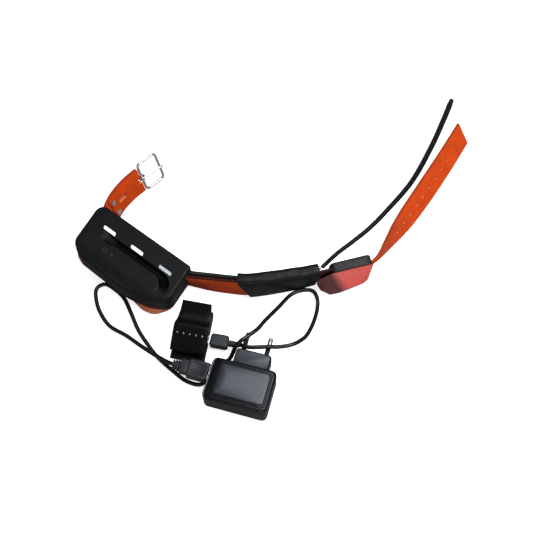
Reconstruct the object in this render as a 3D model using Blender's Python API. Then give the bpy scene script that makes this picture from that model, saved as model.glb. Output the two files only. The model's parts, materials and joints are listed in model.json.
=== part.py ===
"""GPS dog tracking collar laid out open, with its wall adapter, charging lead and contact clip.

The origin is the centre of the tracker module's flat underside, +Z is up, and the set lies on z = 0.
Lengths below are in millimetres and MM turns them into metres where a mesh is made.
"""

import math

import bmesh
import bpy
from mathutils import Euler, Matrix, Vector

MM = 0.001
GAP = 0.3
FLOOR_GAP = 0.2
UP = Vector((0, 0, 1))

# Collar strap
STRAP_WIDTH = 25.4
STRAP_THICKNESS = 2.5
STRAP_HOLE = 2.6
MIDDLE_HOLE_RUNS = (32, 51)
TAIL_HOLES = 9
TAIL_HOLE_PITCH = 11.6
TAIL_HOLE_START = 38.0
TAIL_PIVOT = (215.4, 11.35)
POCKET_ROWS = 6
ANCHOR_ROWS = 5
FOLD_ROW = 6
FOLD_THICKNESS = 1.5
RIVET_RUN = 24.0
RIVET_OFFSETS = (-6.5, 6.5)
RIVET_RADIUS = 1.4
BUCKLE_BAR = 2.6
BUCKLE_SIZE = (20.0, 29.2)
BUCKLE_WIRE = 1.3
PRONG_SLOT_RUN = 35.0

# Tracker module
MODULE_HEADING = -37.6
MODULE_TOP = 28.0
BASE_TOP = 7.6
COVER_BOTTOM = 8.6
CAVITY_ROOF = 21.6
WINDOW_XS = (-27.6, 3.6, 34.7)
WINDOW_Y = 7.0
WINDOW_SIZE = (14.0, 4.0, 3.4)
CAVITY_SIZE = (74.0, 20.5)
CAVITY_PLACE = (-1.0, -8.5)
BOARD_LOW = 9.4
BOARD_HIGH = 11.0
PARTS_LOW = 11.4
BUTTON_PLACE = (-18.0, -9.0)
LED_PLACE = (-10.0, -9.0)
BUTTON_RADIUS = 3.0
LED_RADIUS = 1.2
TROUGH_DEPTH = 3.4
SCREW_RADIUS = 1.4
SCREW_HEAD_RADIUS = 2.6
SCREW_PLACES = ((-44.0, -6.0), (-12.0, 17.0), (20.0, 17.0), (44.0, -12.0))

# Cable, sleeve and antenna
CABLE_RADIUS = 2.2
CABLE_END_RADIUS = 1.1
CABLE_START = 40.0
CABLE_END = 169.5
CABLE_LIFT = 9.4
CABLE_STANDOFF = 0.45
SLEEVE_WALL = 1.1
SLEEVE_START = 99.0
SLEEVE_END = 159.0
SLEEVE_SLANTS = (-0.42, 0.1)
FERRULE_RADIUS = 1.5
WHIP_RADIUS = 2.5
WHIP_ROOT_RADIUS = 1.6
WHIP_EDGE = 9.0
WHIP_BACK = 4.4

# Beacon puck
PUCK_PLACE = (185.5, -7.1, 15.1)
PUCK_HEADING = 15.0
PUCK_LEAN = 12.0

# Wall adapter
ADAPTER_PLACE = (95.0, -112.0)
ADAPTER_HEADING = -15.5
ADAPTER_SIZE = (52.0, 35.0, 26.0)
ADAPTER_WALL = 2.2
ADAPTER_SEAM = 20.0
SOCKET_Y = 5.5
SOCKET_Z = 12.0
PIN_PITCH = 19.0
PIN_CENTRE_X = 3.0
PIN_REACH = 16.8
PIN_RADIUS = 2.0
PIN_CORE_RADIUS = 1.0
PIN_SLEEVE_RADIUS = 1.95

# Charging lead and clip
LEAD_RADIUS = 1.7
PLUG_GAP = 1.3
CLIP_PLACE = (55.8, -61.4)
CLIP_HEADING = -11.0
CLIP_LENGTH = 40.0
CLIP_WIDTH = 28.6
CLIP_PIN = (-2.0, 14.6)
MICRO_Y = -5.0
MICRO_Z = 8.0

# Strap centre lines: x, y, lean of the top edge to the left in degrees, lift off the ground
BUCKLE_STRAP = (
    (-23.6, 31.6, 14, 0), (-22.9, 43, 14, 0), (-20.5, 54, 14, 0.5), (-15.5, 64.5, 15, 1), (-7.5, 74.8, 17, 2.2),
    (1.5, 83.5, 18, 3.4),
)
MIDDLE_STRAP = (
    (38.7, -14.4, -11, 0), (52, -17.8, -10, 0), (68.5, -20.8, -4, 0), (85, -23.5, -2, 0.8), (99, -25, -1, 1.6),
    (113, -23.8, -1, 1.6), (131, -20.8, -3, 1.6), (144, -18.3, -5, 1.6), (158, -14.9, -9, 1.9),
    (172, -10.8, -12, 2.2), (186, -7, -12, 2.2), (196, -4.4, -15, 2.2), (203, -2.3, -19, 2),
    (208, 1.8, -14, 1.7), (212, 6.6, -6, 1.3), (215.2, 11.1, 0, 1.1),
)
TAIL_STRAP = (
    (215.6, 11.65, 0, 1.1), (218.5, 15.8, 4, 1), (227, 28.2, 15, 0.5), (236.6, 41.4, 25, 0),
    (246, 54.6, 30, 0), (262, 78.2, 34, 0), (283, 110.5, 35, 0), (300.5, 139, 35, 0),
)
WHIP_PATH = (
    (175.3, 3.7, 21.6), (189.3, 16.4, 19.4), (205, 31.2, 17.4), (221.2, 49.6, 15.6), (247.4, 83.6, 12),
    (270.3, 125.2, 9), (286.5, 160, 6.5), (295, 179.8, 5),
)
LENS_BACK = [(-28.5, -4, -8), (-28.5, -4, 3), (-17, -4, 12.5), (18.5, -4, 12.8), (19.5, -4, -3), (13, -4, -13.2),
             (-22, -4, -13.2)]
LENS_FRONT = [(-20, -16.4, -8.8), (-11.4, -16.7, -8.8), (-3, -15.9, -0.4), (9, -15.2, -0.6),
              (-3, -15, -5.6), (9, -14.6, -4.6), (14.5, -12, -5), (12, -9, -12.2), (-3, -12.4, -11.2),
              (-18, -13, -11.4), (-27, -10.8, -8.6), (-29.5, -6, -5)]
# Side outlines, y and z: the body's from the ground, the jaw's and its contacts' from the hinge pin
CLIP_PROFILE = ((-24, 0.2), (20, 0.2), (20.4, 6), (19, 9.5), (8, 10.4), (4, 11), (-10.5, 11), (-12, 3.4),
                (-24, 2.8))
JAW_PROFILE = ((-18, -5.2), (-9, 0), (-3.2, -1.4), (-1.6, -2.6), (1.6, -2.6), (5, -2.4), (9, -3), (14, -2.4),
               (21.4, 5.2), (22, 9.2), (17, 5.8), (11, 3.6), (6, 3.8), (2.6, 6.6), (0.5, 6.9), (-6, 4.4),
               (-13, 0.4), (-18, -3))
CONTACT_PLACE = (-5.6, 3.0)
CONTACT_PITCH = 5.2
LEAD_PATH = (
    (46.4, -92.8, 12), (41.6, -91.5, 12), (35.5, -88, 9), (26.5, -82.3, 7), (16.3, -75.5, 6),
    (0.3, -63.3, 3), (-14.3, -54.3, 2), (-23.9, -41.5, 2), (-28.7, -28.5, 2), (-29, -19.5, 2),
    (-22.4, -15.4, 2), (-14.3, -19.8, 2), (-5, -28.6, 2), (2.2, -42.4, 2), (10.2, -58.8, 2),
    (20.8, -73.9, 2), (28.9, -83.4, 2), (39.6, -92.9, 2), (50.1, -101.3, 2), (60.3, -105.1, 2),
    (65.6, -103.5, 2), (67.2, -97, 2), (70.6, -90.6, 2), (76.6, -87, 2.2), (83.1, -86.2, 3.6),
    (87.2, -83.8, 8), (91, -78.6, 16), (95.3, -74.8, 19.6), (101.9, -69.8, 19.6), (109, -63, 17),
    (114.6, -54.2, 13), (125.9, -39.3, 7), (134.4, -27.8, 3), (141, -22.8, 2), (148.5, -20.9, 2),
    (155.5, -22, 2), (159, -29.4, 2), (158.3, -40, 2.4), (154.4, -53, 4), (149, -64.6, 8),
    (143.5, -71.6, 13), (136, -76.6, 16.2), (126, -78.6, 16.6), (115.4, -78.6, 16.6),
    (104.3, -79, 16.4), (98.8, -78.1, 15.9), (96, -76.9, 15.5), (94.2, -75.4, 12.4), (93, -74.4, 8.8),
    (91.6, -73.6, 7.8), (89.1, -73, 8),
)


def clear_scene():
    for obj in list(bpy.data.objects):
        bpy.data.objects.remove(obj)


def material(name, colour, roughness, metallic=0.0, transmission=0.0):
    made = bpy.data.materials.new(name)
    made.use_nodes = True
    shader = made.node_tree.nodes["Principled BSDF"]
    shader.inputs["Base Color"].default_value = (*colour, 1)
    shader.inputs["Roughness"].default_value = roughness
    shader.inputs["Metallic"].default_value = metallic
    shader.inputs["Transmission Weight"].default_value = transmission
    return made


def empty(name, place, heading=0.0, lean=0.0, parent=None):
    """A frame for parts: heading turns it about Z, and lean tips its top towards its own -Y."""
    frame = bpy.data.objects.new(name, None)
    frame.location = Vector(place).to_3d() * MM
    frame.rotation_euler = Euler((math.radians(lean), 0, math.radians(heading)), "XYZ")
    frame.parent = parent
    bpy.context.collection.objects.link(frame)
    return frame


def add(name, bm, look, parent=None):
    """A named object from a mesh in millimetres, shaded smooth where its faces meet gently."""
    bmesh.ops.recalc_face_normals(bm, faces=bm.faces)
    if bm.calc_volume(signed=True) < 0:
        bmesh.ops.reverse_faces(bm, faces=bm.faces)
    bmesh.ops.scale(bm, vec=(MM, MM, MM), verts=bm.verts)
    mesh = bpy.data.meshes.new(name)
    bm.to_mesh(mesh)
    bm.free()
    mesh.shade_smooth()
    mesh.set_sharp_from_angle(angle=math.radians(35))
    obj = bpy.data.objects.new(name, mesh)
    obj.parent = parent
    if look:
        mesh.materials.append(look)
    bpy.context.collection.objects.link(obj)
    return obj


def boolean(obj, bm, operation, frame):
    """Cuts or joins a helper shape, which stays in the scene as a hidden wire guide."""
    helper = add(f"guide_{len(bpy.data.objects)}", bm, None, frame)
    helper.hide_render = True
    helper.display_type = "WIRE"
    modifier = obj.modifiers.new(operation.lower(), "BOOLEAN")
    modifier.operation = operation
    modifier.object = helper


def cut(obj, bm):
    boolean(obj, bm, "DIFFERENCE", obj.parent)


def cut_in_world(obj, bm):
    """Cuts with a shape given in world coordinates, whatever frame the object is in."""
    boolean(obj, bm, "DIFFERENCE", None)


def join(obj, bm):
    boolean(obj, bm, "UNION", obj.parent)


def loft(rings, closed=False):
    """A closed body through rings of points, capped at both ends or joined into a loop."""
    bm = bmesh.new()
    rows = [[bm.verts.new(point) for point in ring] for ring in rings]
    pairs = list(zip(rows, rows[1:]))
    if closed:
        pairs.append((rows[-1], rows[0]))
    for first, second in pairs:
        for i in range(len(first)):
            j = (i + 1) % len(first)
            bm.faces.new((first[i], first[j], second[j], second[i]))
    if not closed:
        bm.faces.new(rows[0][::-1])
        bm.faces.new(rows[-1])
    return bm


def rounded(corners, steps=4):
    """An outline from (x, y, cut) corners, each eased over its cut length."""
    points = []
    for i, (x, y, length) in enumerate(corners):
        corner = Vector((x, y))
        start = corner + (Vector(corners[i - 1][:2]) - corner).normalized() * length
        end = corner + (Vector(corners[(i + 1) % len(corners)][:2]) - corner).normalized() * length
        for step in range(steps + 1):
            t = step / steps
            points.append(start * (1 - t) ** 2 + corner * 2 * t * (1 - t) + end * t**2)
    return points


def rectangle(width, depth, corner, centre=(0, 0), steps=4):
    x, y = width / 2, depth / 2
    cx, cy = centre
    return rounded([(cx + i * x, cy + j * y, corner) for i, j in ((-1, -1), (1, -1), (1, 1), (-1, 1))], steps)


def circle(radius, centre=(0, 0), sides=16):
    turns = [2 * math.pi * i / sides for i in range(sides)]
    return [Vector((centre[0] + radius * math.cos(a), centre[1] + radius * math.sin(a))) for a in turns]


def shrunk(outline, inset):
    """The outline scaled about its middle so that each side moves in by the inset."""
    xs, ys = [p.x for p in outline], [p.y for p in outline]
    cx, cy = (max(xs) + min(xs)) / 2, (max(ys) + min(ys)) / 2
    fx, fy = 1 - 2 * inset / (max(xs) - min(xs)), 1 - 2 * inset / (max(ys) - min(ys))
    return [Vector((cx + (p.x - cx) * fx, cy + (p.y - cy) * fy)) for p in outline]


def slab(outline, low, high, lower_edge=0.0, upper_edge=0.0):
    """The outline raised from low to high, with its lower and upper edges bevelled."""
    levels = [(low, lower_edge), (low + lower_edge, 0), (high - upper_edge, 0), (high, upper_edge)]
    if not lower_edge:
        levels.pop(0)
    if not upper_edge:
        levels.pop()
    return loft([[(p.x, p.y, z) for p in shrunk(outline, inset)] for z, inset in levels])


def turned(bm, euler_degrees, place=(0, 0, 0)):
    matrix = Euler([math.radians(a) for a in euler_degrees]).to_matrix().to_4x4()
    matrix.translation = Vector(place)
    bmesh.ops.transform(bm, matrix=matrix, verts=bm.verts)
    return bm


def rod(radius, length, place, euler_degrees=(0, 0, 0), sides=16):
    """A round bar centred on its place; unturned it stands along Z."""
    return turned(slab(circle(radius, sides=sides), -length / 2, length / 2), euler_degrees, place)


def block(size, place, corner=0.5):
    width, depth, height = size
    x, y, z = place
    return slab(rectangle(width, depth, corner, (x, y), 1), z - height / 2, z + height / 2)


def spline(keys, step):
    """Points about a step apart on a smooth curve through the keys; every column is blended alike."""
    keys = [Vector(key) for key in keys]
    padded = [keys[0] * 2 - keys[1], *keys, keys[-1] * 2 - keys[-2]]
    points = []
    for a, b, c, d in zip(padded, padded[1:], padded[2:], padded[3:]):
        count = max(1, round((c - b).length / step))
        for i in range(count):
            t = i / count
            points.append(0.5 * (2 * b + (c - a) * t + (2 * a - 5 * b + 4 * c - d) * t**2
                                 + (3 * b - a - 3 * c + d) * t**3))
    return points + [keys[-1]]


def strap_frames(keys, step=4.0):
    """Centre, direction, upward edge direction and left-hand normal along a strap that stands on its edge."""
    rows = spline(keys, step)
    frames = []
    for i, (x, y, lean, lift) in enumerate(rows):
        ahead, behind = rows[min(i + 1, len(rows) - 1)], rows[max(i - 1, 0)]
        along = Vector((ahead[0] - behind[0], ahead[1] - behind[1], 0)).normalized()
        left = UP.cross(along)
        angle = math.radians(lean)
        edge = UP * math.cos(angle) + left * math.sin(angle)
        height = STRAP_WIDTH / 2 * math.cos(angle) + STRAP_THICKNESS / 2 * abs(math.sin(angle))
        frames.append((Vector((x, y, height + FLOOR_GAP + lift)), along, edge, edge.cross(along)))
    return frames


def ribbon(frames, width, thickness):
    """A flat band along strap frames, in strips across its width so that a twist stays smooth."""
    strips = (1, 0.5, 0, -0.5, -1)
    rings = []
    for centre, _, edge, normal in frames:
        across, through = edge * width / 2, normal * thickness / 2
        front = [centre + across * s - through for s in strips]
        back = [centre + across * s + through for s in reversed(strips)]
        rings.append(front + back)
    return loft(rings)


def tube(points, radius, sides=8, closed=False):
    """A round bar along points; radius is one number or one for each point."""
    points = [Vector(p) for p in points]
    radii = radius if isinstance(radius, (list, tuple)) else [radius] * len(points)
    rings, last = [], len(points) - 1
    for i, point in enumerate(points):
        if closed:
            along = (points[(i + 1) % len(points)] - points[i - 1]).normalized()
        else:
            along = (points[min(i + 1, last)] - points[max(i - 1, 0)]).normalized()
        guide = UP if abs(along.z) < 0.9 else Vector((1, 0, 0))
        side = along.cross(guide).normalized()
        over = side.cross(along)
        rings.append([point + (side * math.cos(a) + over * math.sin(a)) * radii[i]
                      for a in (2 * math.pi * k / sides for k in range(sides))])
    return loft(rings, closed)


def along_normal(bm, frame, place=(0, 0)):
    """Moves a shape made along Z onto a strap frame, so that its Z lies through the strap."""
    centre, along, edge, normal = frame
    for vert in bm.verts:
        x, y, z = vert.co
        vert.co = centre + along * (x + place[0]) + edge * (y + place[1]) + normal * z
    return bm


def frame_at(frames, distance):
    """The strap frame nearest to a distance along the strap."""
    gone = 0.0
    for here, there in zip(frames, frames[1:]):
        gone += (there[0] - here[0]).length
        if gone >= distance:
            return there
    return frames[-1]


def module_outline():
    return rounded([(-52.6, 19.5, 2.6), (-45.5, -18, 4), (-35, -25.4, 5.5), (18, -26.6, 10), (42, -20.2, 8),
                    (55, -11.5, 5), (50, 23.5, 1.2), (-49.5, 23.5, 2.2)])


def base_outline():
    return rounded([(-50, 13, 5), (-50, -10, 4), (-46.6, -20.3, 4), (-37, -24, 4), (-18, -22, 6), (12, -21.6, 6),
                    (33, -24.5, 4), (44, -22, 5), (52.5, -9, 6), (48, 21, 3), (-46, 21, 3)], 3)


def cavity_outline():
    return rectangle(*CAVITY_SIZE, 3, CAVITY_PLACE, 2)


def cut_strap_pockets(shell):
    """Opens the slots where the two strap lengths and the signal cable enter the module."""
    for keys in (BUCKLE_STRAP, MIDDLE_STRAP):
        frames = strap_frames(keys)[:POCKET_ROWS]
        centre, along, edge, normal = frames[0]
        frames[0] = (centre - along * 0.4, along, edge, normal)
        cut_in_world(shell, ribbon(frames, STRAP_WIDTH + 0.6, STRAP_THICKNESS + 0.8))
    cut_in_world(shell, signal_cable(0.5, CABLE_START - 2, 62))


def build_module(looks):
    module = empty("module_frame", (0, 0), MODULE_HEADING)
    base = add("module_base_shell", slab(base_outline(), 0, BASE_TOP, 1.2), looks["shell_brown"], module)
    cut(base, slab(cavity_outline(), 2.0, BASE_TOP + 5))
    cover = slab(module_outline(), COVER_BOTTOM, MODULE_TOP, 0, 2.4)
    cover = add("module_cover", cover, looks["black"], module)
    cut(cover, slab(cavity_outline(), COVER_BOTTOM - 5, CAVITY_ROOF))
    trough = rounded([(-36, 4.6, 2), (-33, -1.2, 2), (38, -1.6, 3), (45, 0.5, 2), (42, 4.6, 2)])
    cut(cover, slab(trough, MODULE_TOP - TROUGH_DEPTH, MODULE_TOP + 5))
    width, depth, height = WINDOW_SIZE
    for x in WINDOW_XS:
        cut(cover, slab(rectangle(width + 2 * GAP, depth + 2 * GAP, 2, (x, WINDOW_Y), 2),
                        MODULE_TOP - height - GAP, MODULE_TOP + 5))
    cut(cover, rod(BUTTON_RADIUS + GAP, 20, (*BUTTON_PLACE, MODULE_TOP)))
    cut(cover, rod(LED_RADIUS + GAP, 20, (*LED_PLACE, MODULE_TOP)))
    for x, y in SCREW_PLACES:
        cut(base, rod(SCREW_RADIUS + GAP, 30, (x, y, 5), sides=12))
        cut(base, rod(SCREW_HEAD_RADIUS + GAP, 10, (x, y, -2.6), sides=12))
        cut(cover, rod(SCREW_RADIUS + GAP, 14, (x, y, COVER_BOTTOM), sides=12))
    cut_strap_pockets(base)
    cut_strap_pockets(cover)

    gasket = add("module_gasket", slab(shrunk(cavity_outline(), -2.2), BASE_TOP + GAP, COVER_BOTTOM - GAP),
                 looks["rubber"], module)
    cut(gasket, slab(shrunk(cavity_outline(), -0.6), 0, 20))
    add("main_board", slab(shrunk(cavity_outline(), 0.6), BOARD_LOW, BOARD_HIGH), looks["board"], module)
    add("battery", slab(rectangle(44, 18, 2, (-14, -8.5), 2), PARTS_LOW, 19.8, 1, 1), looks["battery"], module)
    add("radio_shield", slab(rectangle(22, 17, 1, (22, -8.5), 1), PARTS_LOW, 15.0), looks["steel"], module)
    for i, x in enumerate(WINDOW_XS):
        add(f"light_window_{i + 1}", slab(rectangle(width, depth, 1.8, (x, WINDOW_Y), 3),
                                          MODULE_TOP - height, MODULE_TOP - 0.2), looks["window"], module)
    button = slab(circle(BUTTON_RADIUS, BUTTON_PLACE, 20), CAVITY_ROOF - 0.6, MODULE_TOP + 0.3, 0, 0.4)
    add("power_button", button, looks["rubber"], module)
    led = slab(circle(LED_RADIUS, LED_PLACE, 12), CAVITY_ROOF + 0.5, MODULE_TOP + 0.1)
    add("status_led", led, looks["window"], module)
    for i, (x, y) in enumerate(SCREW_PLACES):
        screw = add(f"module_screw_{i + 1}", rod(SCREW_RADIUS, 14, (x, y, 8), sides=10), looks["steel"], module)
        join(screw, rod(SCREW_HEAD_RADIUS, 1.6, (x, y, 1.3), sides=10))


def strap_with_holes(name, frames, distances, look):
    strap = add(name, ribbon(frames, STRAP_WIDTH, STRAP_THICKNESS), look)
    for distance in distances:
        hole = slab(circle(STRAP_HOLE / 2, sides=10), -6, 6)
        cut(strap, along_normal(hole, frame_at(frames, distance)))
    return strap


def build_straps(looks):
    middle = strap_frames(MIDDLE_STRAP)
    strap_with_holes("strap_middle", middle, MIDDLE_HOLE_RUNS, looks["strap"])
    tail = strap_frames(TAIL_STRAP)
    length = sum((b[0] - a[0]).length for a, b in zip(tail, tail[1:]))
    holes = [length - TAIL_HOLE_START - TAIL_HOLE_PITCH * i for i in range(TAIL_HOLES)]
    pivot = empty("tail_pivot", TAIL_PIVOT)
    strap = strap_with_holes("strap_tail", tail, holes, looks["strap"])
    carry(strap, pivot)


def carry(obj, pivot):
    """Parents an object to an unturned pivot and leaves it where it is; pivots keep world locations."""
    obj.parent = pivot
    obj.matrix_parent_inverse = Matrix.Translation(-pivot.location)


def build_buckle(looks):
    frames = strap_frames(BUCKLE_STRAP)
    centre, along, edge, normal = frames[ANCHOR_ROWS]
    held = frames[:ANCHOR_ROWS] + [(centre - along * 2 * GAP, along, edge, normal)]
    add("strap_anchor", ribbon(held, STRAP_WIDTH, STRAP_THICKNESS), looks["strap"])
    strap_pivot = empty("strap_pivot", centre - along * GAP)
    strap = add("strap_buckle_end", ribbon(frames[ANCHOR_ROWS:], STRAP_WIDTH, STRAP_THICKNESS), looks["strap"])
    folded = [(c - n * (STRAP_THICKNESS + FOLD_THICKNESS) / 2, a, e, n) for c, a, e, n in frames[FOLD_ROW:]]
    join(strap, ribbon(folded, STRAP_WIDTH - 0.8, FOLD_THICKNESS + 0.4))
    end = frames[-1]
    join(strap, along_normal(turned(slab(circle(4.2, sides=20), -STRAP_WIDTH / 2, STRAP_WIDTH / 2), (90, 0, 0),
                                    (BUCKLE_BAR, 0, 0)), end))
    cut(strap, along_normal(turned(slab(circle(1.9, sides=16), -30, 30), (90, 0, 0), (BUCKLE_BAR, 0, 0)), end))
    cut(strap, along_normal(block((14, 5.0, 20), (4.6, 0, 0)), end))
    slot = frame_at(frames, PRONG_SLOT_RUN)
    cut(strap, along_normal(slab(rectangle(9.5, 4, 1.9, steps=3), -6, 6), slot))
    place = frame_at(frames, RIVET_RUN)
    for i, across in enumerate(RIVET_OFFSETS):
        cut(strap, along_normal(slab(circle(RIVET_RADIUS + GAP, sides=12), -6, 6), place, (0, across)))
        front, back = STRAP_THICKNESS / 2 + FOLD_THICKNESS + 0.5, STRAP_THICKNESS / 2 + 0.35
        shank = slab(circle(RIVET_RADIUS, sides=12), -front - 0.5, back + 0.5)
        rivet = add(f"strap_rivet_{i + 1}", along_normal(shank, place, (0, across)), looks["steel"])
        for low, high in ((-front - 1, -front), (back, back + 1)):
            join(rivet, along_normal(slab(circle(2.6, sides=12), low, high), place, (0, across)))
        carry(rivet, strap_pivot)
    carry(strap, strap_pivot)

    pivot = empty("buckle_pivot", end[0] + end[1] * BUCKLE_BAR)
    outline = rectangle(*BUCKLE_SIZE, 3, (BUCKLE_BAR + BUCKLE_SIZE[0] / 2, 0))
    wire = tube([p.to_3d() for p in outline], BUCKLE_WIRE, 10, closed=True)
    buckle = add("buckle_frame", along_normal(wire, end), looks["steel"])
    prong = add("buckle_prong", along_normal(turned(slab(circle(3.2, sides=16), -1.5, 1.5), (90, 0, 0),
                                                    (BUCKLE_BAR, 0, 0)), end), looks["steel"])
    finger = [(BUCKLE_BAR, 0, -2.3), (BUCKLE_BAR + 8, 0, -3.0), (BUCKLE_BAR + 22, 0, -3.1)]
    join(prong, along_normal(tube(finger, 1.2, 10), end))
    cut(prong, along_normal(turned(slab(circle(1.7, sides=16), -9, 9), (90, 0, 0), (BUCKLE_BAR, 0, 0)), end))
    carry(pivot, strap_pivot)
    carry(buckle, pivot)
    carry(prong, pivot)


def signal_cable(clearance=0.0, start=CABLE_START, end=CABLE_END):
    """Behind the strap near its top edge; inside the sleeve it thins and sinks, and it ends in the puck's wall."""
    points, radii = [], []
    for centre, _, edge, normal in strap_frames(MIDDLE_STRAP):
        if start < centre.x < end:
            sink = min(1.0, max(0.0, (centre.x - 105) / 35))
            radius = CABLE_RADIUS + (CABLE_END_RADIUS - CABLE_RADIUS) * sink
            radii.append(radius + clearance)
            points.append(centre + edge * (CABLE_LIFT - 10.8 * sink)
                          + normal * (STRAP_THICKNESS / 2 + CABLE_STANDOFF + radius))
    return tube(points, radii, 10)


def sleeve_rings(frames, margin, corner, overrun):
    """Oval rings round the strap and the cable behind it; both ends are cut on a slant."""
    reach = STRAP_THICKNESS / 2 + 0.4
    back = STRAP_THICKNESS / 2 + CABLE_STANDOFF + 2 * CABLE_RADIUS + 0.25
    middle, half = (back - reach) / 2, (back + reach) / 2 + margin
    tall = STRAP_WIDTH / 2 + 0.4 + margin
    outline = rectangle(2 * tall, 2 * half, corner)
    rings, last = [], len(frames) - 1
    for i, (centre, along, edge, normal) in enumerate(frames):
        slant, shift = {0: (SLEEVE_SLANTS[0], -overrun), last: (SLEEVE_SLANTS[1], overrun)}.get(i, (0.0, 0.0))
        rings.append([centre + edge * p.x + normal * (middle + p.y) + along * (slant * p.x + shift)
                      for p in outline])
    return rings


def build_sleeve_and_antenna(looks):
    add("signal_cable", signal_cable(), looks["black"])
    frames = [f for f in strap_frames(MIDDLE_STRAP) if SLEEVE_START < f[0].x < SLEEVE_END]
    sleeve = add("cable_sleeve", loft(sleeve_rings(frames, SLEEVE_WALL, 3.0, 0)), looks["sleeve"])
    cut(sleeve, loft(sleeve_rings(frames, 0, 0.5, 3)))

    root = [centre + edge * WHIP_EDGE + normal * WHIP_BACK
            for centre, _, edge, normal in strap_frames(MIDDLE_STRAP) if 150 < centre.x < 163]
    add("antenna_ferrule", tube(root, FERRULE_RADIUS, 10), looks["steel"])
    start = root[-1] + (root[-1] - root[-2]).normalized() * 1.4
    path = spline([start, *WHIP_PATH], 9)
    radii = [WHIP_ROOT_RADIUS + (WHIP_RADIUS - WHIP_ROOT_RADIUS) * i / (len(path) - 1) for i in range(len(path))]
    pivot = empty("antenna_pivot", start)
    carry(add("antenna_whip", tube(path, radii, 8), looks["black"]), pivot)
    end, along = path[-1], (path[-1] - path[-2]).normalized()
    tip = tube([end + along * 0.4, end + along * 1.2, end + along * 5, end + along * 6], [2.2, 2.5, 2.4, 1.7], 12)
    carry(add("antenna_tip", tip, looks["rubber"]), pivot)


def build_puck(looks):
    """The strap runs through the black base; the red lens is bonded to its front and holds the beacon board."""
    frame = empty("puck_frame", PUCK_PLACE, PUCK_HEADING, PUCK_LEAN)
    upright = (90, 0, 0)
    base = add("puck_base", turned(slab(rectangle(35, 29, 4), -4.7, 3.6, 1.2, 0), upright), looks["black"], frame)
    inside = [f for f in strap_frames(MIDDLE_STRAP) if f[0].x > 160]
    centre, along, edge, normal = inside[-1]
    inside.append((centre + along * 4, along, edge, normal))
    cut_in_world(base, ribbon(inside, STRAP_WIDTH + 0.8, STRAP_THICKNESS + 0.9))
    cut_in_world(base, signal_cable(0.4, 150, 174))

    lens = bmesh.new()
    for point in LENS_BACK + LENS_FRONT:
        lens.verts.new(point)
    bmesh.ops.convex_hull(lens, input=lens.verts)
    lens = add("puck_lens", lens, looks["red"], frame)
    cut(lens, block((30, 6, 12.5), (0, -4.1, -3.5)))
    add("puck_board", block((28, 0.9, 11), (0, -4.9, -3.5), 0.2), looks["board"], frame)
    add("puck_patch_antenna", block((10, 1.1, 10), (5, -6.3, -3.5)), looks["ceramic"], frame)
    add("puck_led", block((4, 1.1, 4), (-8, -6.3, -3.5)), looks["window"], frame)


def build_adapter(looks):
    frame = empty("adapter_frame", (*ADAPTER_PLACE, 0), ADAPTER_HEADING)
    length, width, height = ADAPTER_SIZE
    outline = rectangle(length, width, 5)
    lower = add("adapter_bottom_shell", slab(outline, 0, ADAPTER_SEAM, 2.5), looks["grey"], frame)
    join(lower, slab(rectangle(29, 20, 3, (3.5, width / 2 + 3)), 3.2, 19.6, 1.2, 1.2))
    cut(lower, slab(shrunk(outline, ADAPTER_WALL), ADAPTER_WALL, ADAPTER_SEAM + 5))
    cut(lower, block((20, 14.2, 7.2), (-length / 2, SOCKET_Y, SOCKET_Z)))
    upper = add("adapter_top_shell", slab(outline, ADAPTER_SEAM + GAP, height, 0, 3.0), looks["grey"], frame)
    cut(upper, slab(shrunk(outline, 4.5), ADAPTER_SEAM - 5, height - ADAPTER_WALL))
    tip = width / 2 + 13
    for i, side in enumerate((-1, 1)):
        x = PIN_CENTRE_X + side * PIN_PITCH / 2
        cut(lower, rod(PIN_SLEEVE_RADIUS + 0.35, 14, (x, tip, SOCKET_Z), (90, 0, 0)))
        sleeve = add(f"pin_sleeve_{i + 1}", rod(PIN_SLEEVE_RADIUS, 16, (x, tip + 2.5, SOCKET_Z), (90, 0, 0)),
                     looks["black"], frame)
        cut(sleeve, rod(PIN_CORE_RADIUS + GAP, 40, (x, tip, SOCKET_Z), (90, 0, 0)))
        pin = add(f"plug_pin_{i + 1}", rod(PIN_CORE_RADIUS, 20, (x, tip + PIN_REACH - 10.2, SOCKET_Z), (90, 0, 0)),
                  looks["steel"], frame)
        join(pin, rod(PIN_RADIUS, 6, (x, tip + PIN_REACH - 3, SOCKET_Z), (90, 0, 0)))

    add("adapter_board", block((43, 26, 1.6), (0.5, 0, 3.6)), looks["board"], frame)
    add("adapter_transformer", block((17, 15, 13), (10, -2, 11.4), 1.5), looks["battery"], frame)
    socket = add("adapter_usb_socket", block((13.5, 13.6, 6.6), (-length / 2 + 7.6, SOCKET_Y, SOCKET_Z)),
                 looks["steel"], frame)
    cut(socket, block((13, 12.8, 5.3), (-length / 2 + 6.6, SOCKET_Y, SOCKET_Z)))


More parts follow.
